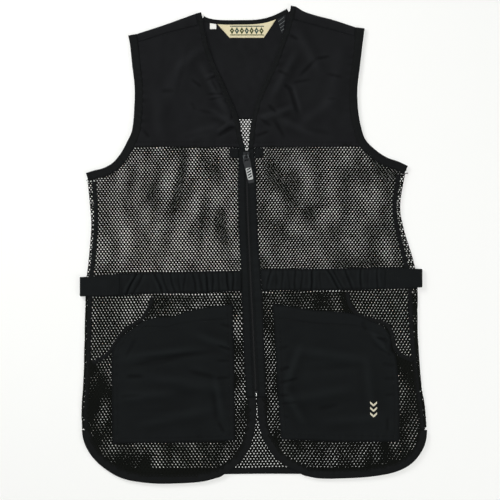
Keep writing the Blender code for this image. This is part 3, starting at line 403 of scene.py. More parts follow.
def fabric(name, dark, light, roughness=0.8, sheen=0.04, specular=0.1, thread=0.55, bump=0.35, mottle=14.0,
           streak=0.3):
    """Woven cloth: crossing threads in the bump, slubs and mottle, and painted shade in creases and painted
    highlights on ridges in the colour.
    """
    made, tree, shader = material(name, {"Specular IOR Level": specular, "Sheen Weight": sheen,
                                         "Sheen Roughness": 0.45, "Sheen Tint": (0.75, 0.82, 0.9, 1)})
    place = node(tree, "ShaderNodeTexCoord").outputs["Object"]
    threads = node(tree, "ShaderNodeUVMap", uv_map="cloth").outputs[0]
    period = 0.314 / (thread * MM)
    warp, weft = [bands(tree, threads, way, _1=period, _2=1.2, _3=2.0, _4=2.0) for way in "XY"]
    relief = times(tree, times(tree, warp, weft), noise(tree, place, 2600.0, 3.0))
    long = node(tree, "ShaderNodeMapping", [(0, threads)], _3=(60.0, 900.0, 1.0)).outputs[0]
    slub = noise(tree, long, 1.0, 2.0)
    mixed = times_plus(tree, slub, streak, noise(tree, place, mottle, 4.0))
    share = node(tree, "ShaderNodeMapRange", [(0, mixed)], _1=0.38 + streak / 2 - 0.06,
                 _2=0.62 + streak / 2 + 0.06, _3=0.36, _4=0.60).outputs[0]
    # Painted light and shade from the cloth's relief: the colour goes lighter on ridges as a painted
    # highlight and darker in creases as painted shade
    painted_fold_shading = node(tree, "ShaderNodeAttribute", attribute_name="painted_fold_shading").outputs[2]
    dress(tree, shader, (dark, light, times_plus(tree, painted_fold_shading, 0.5, share)),
          (roughness - 0.07, roughness + 0.06, slub), (bump, 0.0002, relief))
    return made


def yarn(name, dark, light, roughness=0.85, specular=0.15, sheen=0.2, twist=900.0):
    """Knitted or stitched yarn: a fine diagonal twist over fibres."""
    made, tree, shader = material(name, {"Specular IOR Level": specular, "Sheen Weight": sheen,
                                         "Sheen Roughness": 0.4})
    place = node(tree, "ShaderNodeTexCoord").outputs["Object"]
    fibres = noise(tree, place, 1800.0, 3.0)
    relief = times(tree, bands(tree, place, "DIAGONAL", _1=twist, _2=3.0, _3=2.0), fibres)
    dress(tree, shader, (dark, light, noise(tree, place, 22.0, 3.0)),
          (roughness - 0.1, roughness + 0.1, fibres), (0.4, 0.00015, relief))
    return made


def hard(name, dark, light, roughness, metallic=0.0, bump=0.15, size=300.0, specular=0.5):
    """Metal or moulded plastic: faint scuffs in colour, gloss and relief."""
    made, tree, shader = material(name, {"Specular IOR Level": specular, "Metallic": metallic})
    place = node(tree, "ShaderNodeTexCoord").outputs["Object"]
    scuff = noise(tree, place, size, 5.0)
    dress(tree, shader, (dark, light, scuff), (roughness - 0.08, roughness + 0.12, scuff),
          (bump, 0.0001, noise(tree, place, size * 12, 3.0)))
    return made


yoke_cloth = fabric("vest_yoke_cloth", (0.0026, 0.0028, 0.0033), (0.0100, 0.0107, 0.0119))
shell_cloth = fabric("vest_shell_cloth", (0.0018, 0.0024, 0.0026), (0.0068, 0.0085, 0.0090))
binding_cloth = fabric("vest_binding_cloth", (0.0021, 0.0025, 0.0026), (0.0071, 0.0081, 0.0083), thread=0.45)
tape_cloth = fabric("vest_zip_tape", (0.0030, 0.0036, 0.0039), (0.0062, 0.0070, 0.0074), thread=0.7, bump=0.5)
label_cloth = fabric("vest_label_cloth", (0.58, 0.51, 0.32), (0.74, 0.67, 0.44), 0.7, 0.05, 0.2, 0.35, 0.25)
tag_cloth = fabric("vest_tag_cloth", (0.72, 0.72, 0.68), (0.85, 0.85, 0.80), 0.7, 0.1, 0.25, 0.35, 0.2)
care_cloth = fabric("vest_care_cloth", (0.004, 0.005, 0.006), (0.012, 0.014, 0.015), 0.7, 0.05, 0.15, 0.35,
                    0.2)
net_yarn = yarn("vest_net_yarn", (0.0030, 0.0036, 0.0029), (0.0058, 0.0066, 0.0053), specular=0.06,
                sheen=0.03)
black_thread = yarn("vest_black_thread", (0.0024, 0.0028, 0.0030), (0.0056, 0.0062, 0.0064), specular=0.08,
                    sheen=0.04)
cream_thread = yarn("vest_cream_thread", (0.62, 0.58, 0.42), (0.86, 0.82, 0.66), 0.6, 0.3)
green_thread = yarn("vest_green_thread", (0.035, 0.052, 0.014), (0.075, 0.095, 0.03), 0.7, 0.1)
teal_thread = yarn("vest_teal_thread", (0.03, 0.065, 0.055), (0.07, 0.12, 0.10), 0.7, 0.1)
grey_thread = yarn("vest_grey_thread", (0.14, 0.15, 0.15), (0.22, 0.235, 0.23), 0.7, 0.15)
dark_metal = hard("vest_dark_metal", (0.006, 0.007, 0.008), (0.014, 0.016, 0.017), 0.5, 0.5, specular=0.2)
link_metal = hard("vest_link_metal", (0.030, 0.033, 0.035), (0.055, 0.060, 0.062), 0.45, 0.6, specular=0.3)
bright_metal = hard("vest_bright_metal", (0.30, 0.31, 0.30), (0.42, 0.43, 0.42), 0.45, 0.9)
pull_rubber = hard("vest_pull_rubber", (0.013, 0.015, 0.016), (0.024, 0.026, 0.028), 0.62, bump=0.3,
                   specular=0.2)
pale_rubber = hard("vest_pale_rubber", (0.36, 0.38, 0.37), (0.52, 0.54, 0.52), 0.6, bump=0.2)
zip_plastic = hard("vest_zip_plastic", (0.0035, 0.0042, 0.0045), (0.0080, 0.0088, 0.0092), 0.6, specular=0.15)


# Meshes
def add(name, points, faces, finish, bake=None, weave=None, smooth=True):
    """An object from points in millimetres, with its bake and weave coordinates given for each corner."""
    mesh = bpy.data.meshes.new(name)
    mesh.from_pydata((np.asarray(points) * MM).tolist(), [], faces)
    for title, values in (("OFBake", bake), ("cloth", weave)):
        if values is not None:
            mesh.uv_layers.new(name=title).data.foreach_set("uv", np.asarray(values, np.float32).ravel())
    if smooth:
        mesh.shade_smooth()
    mesh.materials.append(finish)
    made = bpy.data.objects.new(name, mesh)
    bpy.context.scene.collection.objects.link(made)
    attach(made, "vest")
    return made


def edge_distances(mid):
    """How far each point of a grid is from its first and last column and its first and last row."""
    wide = np.linalg.norm(np.diff(mid, axis=1), axis=2)
    tall = np.linalg.norm(np.diff(mid, axis=0), axis=2)
    left = np.hstack([np.zeros((len(mid), 1)), np.cumsum(wide, axis=1)])
    low = np.vstack([np.zeros((1, mid.shape[1])), np.cumsum(tall, axis=0)])
    return left, left[:, -1:] - left, low, low[-1:] - low


def painted_fold_shading_of(height, passes=16, depth=0.7):
    """Painted light and shade from where cloth stands over or under its surroundings: 1 for a painted
    highlight on a ridge, -1 for painted shade down in a crease.
    """
    around = height
    for _ in range(passes):
        wide = np.pad(around, 1, mode="edge")
        around = (wide[:-2, 1:-1] + wide[2:, 1:-1] + wide[1:-1, :-2] + wide[1:-1, 2:] + wide[1:-1, 1:-1]) / 5
    return np.clip((height - around) / depth, -1, 1)


def shell(name, mid, wall, finish, relief=None, lip=1.5, thin=0.3, keep=None, plump=0.0):
    """A closed, thin shell about a grid of points, thinner at its edges. relief lifts its upper side only."""
    rows, columns = mid.shape[:2]
    away = np.cross(np.gradient(mid, axis=1), np.gradient(mid, axis=0))
    away /= np.linalg.norm(away, axis=2)[..., None]
    flip = away[rows // 4, columns // 2, 2] < 0
    if flip:
        away = -away
    left, right, low, high = edge_distances(mid)
    near = np.minimum(np.minimum(left, right), np.minimum(low, high))
    share = thin + (1 - thin) * np.sqrt(1 - (1 - np.clip(near / lip, 0, 1)) ** 2)
    half = (wall / 2 * share)[..., None]
    top = mid + away * half
    if relief is not None:
        top = top + away * (relief * np.clip(near, 0, 1))[..., None]
    if plump:
        top = top + away * (plump * np.sqrt(np.clip(near / lip, 0, 1)))[..., None]
    under = mid - away * half
    # Painted light and shade: how far each point stands over or under its surroundings, for lighter ridges
    # and darker creases in the colour
    painted_fold_shading = painted_fold_shading_of(mid[..., 2] + (0 if relief is None else relief))
    count = rows * columns
    index = np.arange(count).reshape(rows, columns)
    a, b, c, d = index[:-1, :-1], index[:-1, 1:], index[1:, 1:], index[1:, :-1]
    quads = np.stack([a, b, c, d], axis=-1)
    kept = np.ones(quads.shape[:2], bool) if keep is None else keep(*np.indices(quads.shape[:2]))
    quads = quads[kept]
    ring = {}
    for quad in quads:
        for i, j in zip(quad, np.roll(quad, -1)):
            if (j, i) in ring:
                del ring[j, i]
            else:
                ring[i, j] = True
    rim = np.array([(j, i, i + count, j + count) for i, j in ring])
    faces = np.vstack([quads, quads[:, ::-1] + count, rim])
    if flip:
        faces = faces[:, ::-1]
    u = (left / np.maximum(left[:, -1:], 1e-6)).ravel()
    v = (low / np.maximum(low[-1:], 1e-6)).ravel()
    spot = np.column_stack([0.01 + 0.48 * u, 0.01 + 0.98 * v])
    spots = np.vstack([spot, spot + [0.5, 0]])
    bake = spots[faces]
    rim_part = bake[len(quads) * 2:]
    rim_part[...] = np.where((rim_part[..., :1] > 0.5), rim_part - [0.5, 0], rim_part)
    threads = np.column_stack([left.mean(axis=0)[None].repeat(rows, 0).ravel(),
                               low.mean(axis=1)[:, None].repeat(columns, 1).ravel()]) * MM
    weave = np.vstack([threads, threads])[faces]
    points = np.vstack([top.reshape(-1, 3), under.reshape(-1, 3)])
    used, faces = np.unique(faces, return_inverse=True)
    faces = faces.reshape(-1, 4)
    made = add(name, points[used], faces.tolist(), finish, bake=bake, weave=weave)
    # Kept on the mesh for the colour's painted highlights on ridges and painted shade in creases
    fold_shading_layer = made.data.attributes.new("painted_fold_shading", "FLOAT", "POINT")
    fold_shading_layer.data.foreach_set("value", np.tile(painted_fold_shading.ravel(), 2)[used].astype(np.float32))
    flat = mid[..., :2]
    p, q, r, s = flat[:-1, :-1], flat[:-1, 1:], flat[1:, 1:], flat[1:, :-1]
    whole = abs((r - p)[..., 0] * (s - q)[..., 1] - (r - p)[..., 1] * (s - q)[..., 0]) / 2
    made["plan_area"] = float(whole[kept].sum()) * MM * MM
    return made


# Rows of stitches are noted on the way and sewn as one piece at the end
thread_runs = []


def stitch(onto, line, pitch=2.9, length=2.1, width=0.5):
    """Notes a row of stitches along a line in plan, to lie on this piece."""
    thread_runs.append((onto, np.asarray(line)[:, :2], pitch, length, width))


def plan_size(node_name):
    """The solid's width and length in plan, in metres."""
    low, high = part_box(node_name)
    return high.x - low.x, high.y - low.y


def declare(piece, node_name, flat=None, area=None):
    """Hides the solid that the piece stands for, and works out the flat cut of what shows of it, which is not
    kept.
    """
    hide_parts(node_name)
    area = piece["plan_area"] if area is None else area
    if flat is None:
        low, high = np.array(piece.bound_box).min(0), np.array(piece.bound_box).max(0)
        flat = (max(float(high[0] - low[0]), LEAST_SIDE), max(float(high[1] - low[1]), LEAST_SIDE))
    min(area, flat[0] * flat[1])


def strip(name, node_name, outer, inner, height, relief, across, plump=0.25, lip=2.2,
          wall=BINDING_WALL, finish=binding_cloth, seams=()):
    """A strip between two lines of as many points, with its seams' stitches. height is a level or a function
    of x and y. Its flat size is its length and its finished width."""
    share = (1 - np.cos(np.linspace(0, math.pi, across + 1))) / 2
    share = (0.6 * share + 0.4 * np.linspace(0, 1, across + 1))[:, None, None]
    plan = (1 - share) * outer[None, :, :2] + share * inner[None, :, :2]
    z = height(plan[..., 0], plan[..., 1]) if callable(height) else np.full(plan.shape[:2], height)
    mid = np.dstack([plan, z])
    piece = shell(name, mid, wall, finish, relief(mid) if relief else None, lip=lip, plump=plump)
    length = run_of(outer)[-1] * MM
    width = max(piece["plan_area"] / length, LEAST_SIDE)
    declare(piece, node_name, flat=(width, length))
    for line in seams:
        stitch(piece, line)


def puckers(seed, depth=0.22, size=9.0, seam=0.8):
    """Small ripples along a strip, strongest at its seam, and the seam's own groove."""
    def relief(mid):
        rows = np.linspace(0, 1, len(mid))[:, None]
        run = run_of(mid[len(mid) // 2])[None]
        ripple = waves(run, run * 0, seed, size, 6)
        groove = -0.5 * np.exp(-(((rows - seam) / 0.07) ** 2))
        return ripple * depth * (0.35 + 0.65 * np.exp(-(((rows - seam) / 0.35) ** 2))) + groove
    return relief


def hang(x, y):
    """Where the knit's points lie on the vest: its loops are drawn wider and taller below the belt."""
    belt, fade, sway = -40.0, 250.0, 1.2
    below = np.clip(belt - y, 0, None)
    spread = 1 + (NET_SPREAD - 1) * np.clip(below / fade, 0, 1)
    return (x * spread + sway * waves(x, y, 14, 190),
            y - (NET_DROP - 1) * below + sway * waves(x, y, 15, 190))


def slip(lay, drift=0.0, size=70.0, seed=1, creases=()):
    """How far a layer of net lies off the back net here. A crease shifts it further or less far."""
    def off(x, y):
        more = np.clip(1 + folds(x, y, creases), 0, None)
        aside = lay[0] * more + drift * waves(x, y / STREAK_LONG, seed, size)
        along = lay[1] * more + drift * waves(x, y / STREAK_LONG, seed + 1, size)
        share = np.minimum(1, FURTHEST / np.maximum(np.hypot(aside, along), 0.01))
        return aside * share, along * share
    return off


def knit(name, outline, place, off, seed, hole=None):
    """Net as hexagonal loops round holes. outline says which loops are inside, place puts points in space,
    off shifts the layer and hole gives the holes' share of their loops."""
    px, py = NET_PITCH
    sides, corners = 6, 2
    columns, rows = (int((high - low) / step) + 4 for low, high, step in zip(NET_LOW, NET_HIGH, NET_PITCH))
    j, i = np.mgrid[0:rows, 0:columns]
    x = NET_LOW[0] + (i - 1 + 0.5 * (j % 2)) * px
    y = NET_LOW[1] + (j - 1) * py
    short = (py - px * px / (4 * py)) / 2
    tall = py - short
    upper = np.array([(px / 2, short), (0, tall), (-px / 2, short)])
    shape = np.vstack([upper, -upper])
    uneven = 0.06
    dice = np.random.default_rng(seed)
    size = (NET_HOLE if hole is None else hole(*hang(x, y))) * (1 + dice.uniform(-uneven, uneven, x.shape))
    shift = dice.normal(0, uneven, (*x.shape, 2))
    centre = np.dstack([x, y])
    loops = centre[:, :, None] + shape * size[..., None, None] + shift[:, :, None]
    joints = centre[:, :, None] + shape[:corners] + dice.normal(0, uneven, (rows, columns, corners, 2))

    def bend(points):
        hung = hang(points[..., 0], points[..., 1])
        return np.stack(hung, axis=-1) + np.stack(off(*hung), axis=-1)

    loops, joints, centre = bend(loops), bend(joints), bend(centre)
    keep = outline(centre[..., 0], centre[..., 1])
    keep[[0, -1]] = False
    keep[:, [0, -1]] = False
    cell = np.arange(rows * columns).reshape(rows, columns)
    side = np.where(j % 2 == 0, -1, 0)
    below = np.clip(j - 1, 0, None)
    west = cell[below, np.clip(i + side, 0, columns - 1)]
    east = cell[below, np.clip(i + side + 1, 0, columns - 1)]
    left = cell[j, np.clip(i - 1, 0, columns - 1)]
    base = cell.size * sides
    around = ((cell, 0), (cell, 1), (left, 0), (west, 1), (west, 0), (east, 1))
    ring = np.stack([base + owner * corners + corner for owner, corner in around], axis=-1)[keep]
    own = (cell[..., None] * sides + np.arange(sides))[keep]
    faces = np.stack([own, ring, np.roll(ring, -1, axis=1), np.roll(own, -1, axis=1)], axis=-1).reshape(-1, 4)
    plan = np.vstack([loops.reshape(-1, 2), joints.reshape(-1, 2)])
    hole_drop, yarn_rise = -0.12, 0.26
    crown = np.concatenate([np.full(base, hole_drop), np.full(len(plan) - base, yarn_rise)])
    used, faces = np.unique(faces, return_inverse=True)
    faces = faces.reshape(-1, 4)
    plan, crown = plan[used], crown[used]
    points = place(plan[:, 0], plan[:, 1])
    points[:, 2] += crown
    spot = (plan - plan.min(0)) / (plan.max(0) - plan.min(0)) * 0.98 + 0.01
    made = add(name, points, faces.tolist(), net_yarn, bake=spot[faces], weave=plan[faces] * MM)
    q = plan[faces]
    area = abs((q[:, 2, 0] - q[:, 0, 0]) * (q[:, 3, 1] - q[:, 1, 1])
               - (q[:, 2, 1] - q[:, 0, 1]) * (q[:, 3, 0] - q[:, 1, 0])).sum() / 2
    made["plan_area"] = float(area) * MM * MM
    return made


def capsules(spots, along, up, length, width, lift=0.12):
    """Small pointed beads of thread: 10 points and 12 faces each."""
    across = np.cross(up, along)
    across /= np.linalg.norm(across, axis=1)[:, None]
    points, faces = [], []
    for reach, ring in ((-0.5, "point"), (-0.3, "girth"), (0.3, "girth"), (0.5, "point")):
        for a, b in ((0, 0),) if ring == "point" else ((1, 0), (0, 1), (-1, 0), (0, -1)):
            points.append(spots + along * reach * length + across * a * width / 2
                          + up * (lift + b * width * 0.35))
    shape = [(0, 2, 1), (0, 3, 2), (0, 4, 3), (0, 1, 4), (1, 2, 6, 5), (2, 3, 7, 6), (3, 4, 8, 7),
             (4, 1, 5, 8), (5, 6, 9), (6, 7, 9), (7, 8, 9), (8, 5, 9)]
    for n in range(len(spots)):
        faces += [tuple(n * len(points) + v for v in face) for face in shape]
    return np.stack(points, axis=1).reshape(-1, 3), faces


def tree_of(piece):
    """A search tree over the piece."""
    return BVHTree.FromPolygons([v.co for v in piece.data.vertices],
                                [list(p.vertices) for p in piece.data.polygons])


def drop(tree, plan):
    """The points and normals straight below points in plan, and which of them hit."""
    spots, ups, hits = [], [], []
    for x, y in plan:
        place, up = tree.ray_cast(Vector((x * MM, y * MM, 0.1)), Vector((0, 0, -1)))[:2]
        hits.append(place is not None)
        spots.append(place / MM if place is not None else Vector((x, y, 0)))
        ups.append(up if place is not None else Vector((0, 0, 1)))
    return np.array(spots), np.array(ups), np.array(hits)


def sew(name, runs, finish):
    """Turns the noted rows of stitches into one piece."""
    points, faces, trees, count = [], [], {}, 0
    for onto, line, pitch, length, width in runs:
        if onto.name not in trees:
            trees[onto.name] = tree_of(onto)
        run = run_of(line)
        stations = np.arange(pitch / 2, run[-1], pitch)
        plan, ahead, behind = [np.column_stack([np.interp(stations + step, run, line[:, k]) for k in (0, 1)])
                               for step in (0, 0.3, -0.3)]
        spots, ups, hits = drop(trees[onto.name], plan)
        if not hits.any():
            continue
        flow = np.column_stack([ahead - behind, np.zeros(len(plan))])
        flow -= ups * (flow * ups).sum(axis=1)[:, None]
        flow /= np.linalg.norm(flow, axis=1)[:, None]
        p, f = capsules(spots[hits], flow[hits], ups[hits], length, width)
        faces += [tuple(v + count for v in face) for face in f]
        points.append(p)
        count += len(p)
    made = add(name, np.vstack(points), faces, finish)


class Front:
    """The seam lines of one front."""

    def __init__(self, side):
        self.side = side
        self.out = -1 if side == "left" else 1
        self.arm = dense(ARM_EDGE[side])
        self.arm_in = self.arm_line(ARMHOLE_BINDING)
        self.forward_share = share_at_y(self.arm_in, FORWARD_SEAM[side][0][1])
        self.yoke_share = share_at_y(self.arm_in, YOKE_Y)
        self.back_yoke_share = share_at_y(self.arm_in, BACK_YOKE_Y)
        self.neck = dense(NECK_EDGE[side])
        self.neck_in = self.neck_line(NECK_BINDING)
        self.neck_share = share_at_y(self.neck_in, FORWARD_SEAM[side][-1][1])
        self.hem, self.curve = dense(HEM_EDGE[side]), dense(FRONT_CURVE[side])
        self.hem_in, self.curve_in = self.hem_lines(HEM_BINDING)
        self.side_rows = dense([(x, y) for y, x, seam in SIDE[side]])
        self.seam_rows = dense([(seam, y) for y, x, seam in SIDE[side]])
        self.placket = dense([self.neck_in[-1], *PLACKET_EDGE[side][1:]])

    def arm_line(self, depth):
        return beside(self.arm, -self.out * depth)

    def neck_line(self, depth):
        return cut_at_y(beside(self.neck, self.out * depth), YOKE_Y)

    def hem_lines(self, depth):
        whole = np.vstack([self.hem, self.curve[1:]])
        inner = beside(whole, -self.out * depth)
        inner[0] = self.hem[0] + np.array([-self.out * depth, 0])
        inner[-1] = np.array([self.curve[-1][0] + self.out * depth, self.curve[-1][1]])
        return inner[:len(self.hem)], inner[len(self.hem) - 1:]

    def placket_x(self, y):
        """The placket's outer edge at these heights."""
        return np.interp(y, self.placket[::-1, 1], self.placket[::-1, 0])

    def side_top(self):
        return self.arm_in[-1, 1] - 0.5

    def side_line(self, rows, count):
        return at(rows, np.linspace(share_at_y(rows, self.side_top()), 1, count + 1))

    def zip_edge(self, count):
        middle = evenly(dense(ZIP_LINE), count)
        share = np.linspace(0, 1, count + 1)[:, None]
        half = (ZIP_WIDTH_TOP * (1 - share) + ZIP_WIDTH_BOTTOM * share) / 2
        return middle + np.hstack([self.out * half, 0 * half]), middle


fronts = {"left": Front("left"), "right": Front("right")}
left, right = fronts["left"], fronts["right"]
pockets = {}


# The back: net, yoke and bindings flat on the surface
def side_x(y, rows):
    order = np.argsort(rows[:, 1])
    return np.interp(y, rows[order, 1], rows[order, 0])


def back_hem_line(depth):
    edge = dense(BACK_HEM_EDGE)
    inner = beside(edge, depth)
    inner[0] = edge[0] + np.array([depth, 0])
    inner[-1] = edge[-1] - np.array([depth, 0])
    return edge, inner


def wrap_round(x, y):
    """Carries a point of the unrolled back round the vest's side and on over the front edge."""
    out_x, z = x.copy(), np.full(x.shape, BACK_LEVEL)
    for front in (left, right):
        turn_x = side_x(y, front.side_rows) * front.out - FOLD_RADIUS - TURN_INSET
        past = x * front.out - turn_x
        angle = np.clip(past / FOLD_RADIUS, 0, math.pi)
        over = np.clip(past - math.pi * FOLD_RADIUS, 0, None)
        bent = turn_x + FOLD_RADIUS * np.sin(angle) - over
        low = y < front.side_top() + 1
        out_x = np.where((past > 0) & low, bent * front.out, out_x)
        z = np.where((past > 0) & low, BACK_LEVEL + FOLD_RADIUS * (1 - np.cos(angle)), z)
    return np.column_stack([out_x, y, z])


def build_back_net():
    lower = back_hem_line(BACK_HEM_BINDING - NET_UNDER)[1]
    arms = [part_of(front.arm_line(ARMHOLE_BINDING - NET_UNDER), front.back_yoke_share - 0.02, 1.0)
            for front in (left, right)]
    flat = np.vstack([lower, arms[1][::-1], arms[0]])
    polygon = flat[:, :2]

    def outline(x, y):
        hit = inside(polygon, x, y)
        for front in (left, right):
            turn_x = side_x(y, front.side_rows) * front.out
            seam = side_x(y, front.seam_rows) * front.out
            reach = turn_x + math.pi * FOLD_RADIUS - FOLD_RADIUS + (turn_x - seam) - 1.0
            zone = (y < front.side_top()) & (y > TURN_LOW_Y) & (x * front.out > TURN_FROM_X)
            hit = np.where(zone, x * front.out < reach, hit)
        return hit

    gap = np.vstack([left.curve, right.curve[::-1]])

    def hole(x, y):
        """The holes' share, less in the gap between the curved hems and along the lower sides."""
        share = np.where(inside(gap, x, y), GAP_HOLE, NET_HOLE)
        for front in (left, right):
            past = x * front.out > side_x(y, front.seam_rows) * front.out - SIDE_BAND / 2
            share = np.where(past & (y < LOWER_SIDE_Y), SIDE_HOLE, share)
        return share

    net = knit("cloth_back_net", outline, wrap_round, slip((0, 0)), 3, hole)
    width, length = plan_size("back_net")
    turned = 0.02
    declare(net, "back_net", flat=(width + turned, length))


def shoulder_line(front):
    return dense([front.arm_in[0], *SHOULDER[front.side], front.neck_in[0]])


def fold_over(line, outward, seam, turns):
    """From the seam on the front, round the crest, to the flat back."""
    centre = line - outward * (FOLD_RADIUS + WALL / 2)
    rows = []
    for share in np.linspace(0, 1, 8, endpoint=False):
        start = np.column_stack([seam, np.full(len(seam), FRONT_LEVEL)])
        end = np.column_stack([centre, np.full(len(seam), BACK_LEVEL + 2 * FOLD_RADIUS)])
        rows.append(start * (1 - share) + end * share)
    for turn in np.radians(turns):
        spot = centre + outward * FOLD_RADIUS * math.cos(turn)
        level = BACK_LEVEL + FOLD_RADIUS * (1 + math.sin(turn))
        rows.append(np.column_stack([spot, np.full(len(spot), level)]))
    return rows


def build_back_yoke():
    rows, count, neck_count = 44, 40, 56
    crests, seams, turns = [], [], []
    for front in (left, right):
        crest = evenly(shoulder_line(front), count)
        arm = at(front.arm_in, [front.forward_share])[0]
        neck = at(front.neck_in, [front.neck_share])[0]
        seam = evenly(dense([arm, *FORWARD_SEAM[front.side][1:-1], neck]), count)
        outward = crest - seam
        outward /= np.linalg.norm(outward, axis=1)[:, None]
        crests.append(crest)
        seams.append(seam)
        turns.append(outward)
    over = []
    for crest, seam, outward in zip([crests[0], crests[1][::-1]], [seams[0], seams[1][::-1]],
                                    [turns[0], turns[1][::-1]]):
        over.append(fold_over(crest, outward, seam, (90, 60, 30, 0, -30, -60, -90)))
    edge = dense(BACK_NECK_EDGE)
    neck = at(beside(edge, -BACK_NECK_BINDING + UNDER), np.linspace(0.06, 0.94, neck_count))
    top = np.vstack([over[0][-1][:, :2], neck, over[1][-1][:, :2]])
    arms = []
    for front in (left, right):
        line = front.arm_line(ARMHOLE_BINDING - UNDER)
        arms.append(at(line, np.linspace(front.back_yoke_share, 0, rows + 1)))
    arms[0][-1], arms[1][-1] = top[0], top[-1]
    bottom = evenly(np.array([arms[0][0], arms[1][0]]), len(top) - 1)
    flat = patch(bottom, top, *arms)
    layers = [np.dstack([flat, np.full(flat.shape[:2], BACK_LEVEL)])]
    for k in range(len(over[0]) - 2, -1, -1):
        middle = np.linspace(over[0][k][-1], over[1][k][0], neck_count + 2)[1:-1]
        layers.append(np.vstack([over[0][k], middle, over[1][k]])[None])
    mid = np.vstack(layers)
    last = len(top) - 1

    def keep(row, column):
        return (row < rows) | (column < count) | (column >= last - count)

    x, y = mid[..., 0], mid[..., 1]
    relief = np.clip(0.25 + 0.3 * waves(x, y, 31, 60) + 0.12 * waves(x, y, 32, 17), 0, 1.2)
    relief[:2] = 0.1
    piece = shell("cloth_back_yoke", mid, WALL, yoke_cloth, relief, keep=keep)
    width, length = plan_size("back_yoke")
    rolled = 0.02
    declare(piece, "back_yoke", flat=(width, length + rolled))
    for front in (left, right):
        stitch(piece, beside(evenly(dense(FORWARD_SEAM[front.side]), 60), front.out * -2.2))
    stitch(piece, np.array([[-175, BACK_YOKE_Y + 3], [155, BACK_YOKE_Y + 3]]))


def build_back_bindings():
    edge = dense(BACK_NECK_EDGE)
    shares = np.linspace(0.05, 0.95, 110)
    strip("binding_back_neck", "back_neck_binding", at(edge, shares),
          at(beside(edge, -BACK_NECK_BINDING), shares), BACK_BINDING_LEVEL, puckers(41, 0.18), 8,
          seams=[at(beside(edge, -BACK_NECK_BINDING + 1.7), shares)])
    edge, inner = back_hem_line(BACK_HEM_BINDING)
    shares = np.linspace(0, 1, 460)
    strip("binding_back_hem", "back_hem_binding", at(edge, shares), at(inner, shares),
          BACK_BINDING_LEVEL, puckers(42, 0.2), 7,
          seams=[at(back_hem_line(BACK_HEM_BINDING - 1.8)[1], np.linspace(0.38, 0.68, 120))])
    shares = np.linspace(0, 1, 190)
    for front in (left, right):
        strip(f"binding_back_armhole_{front.side}", f"back_armhole_binding_{front.side}",
              at(front.arm, shares), at(front.arm_in, shares), BACK_BINDING_LEVEL, puckers(43, 0.15), 6)


# The fronts
def yoke_height(x, y):
    fine = folds(x, y, YOKE_CREASES) + 0.35 * waves(x, y, 51, 70) + 0.12 * waves(x, y, 52, 20)
    return front_height(x, y) + fine


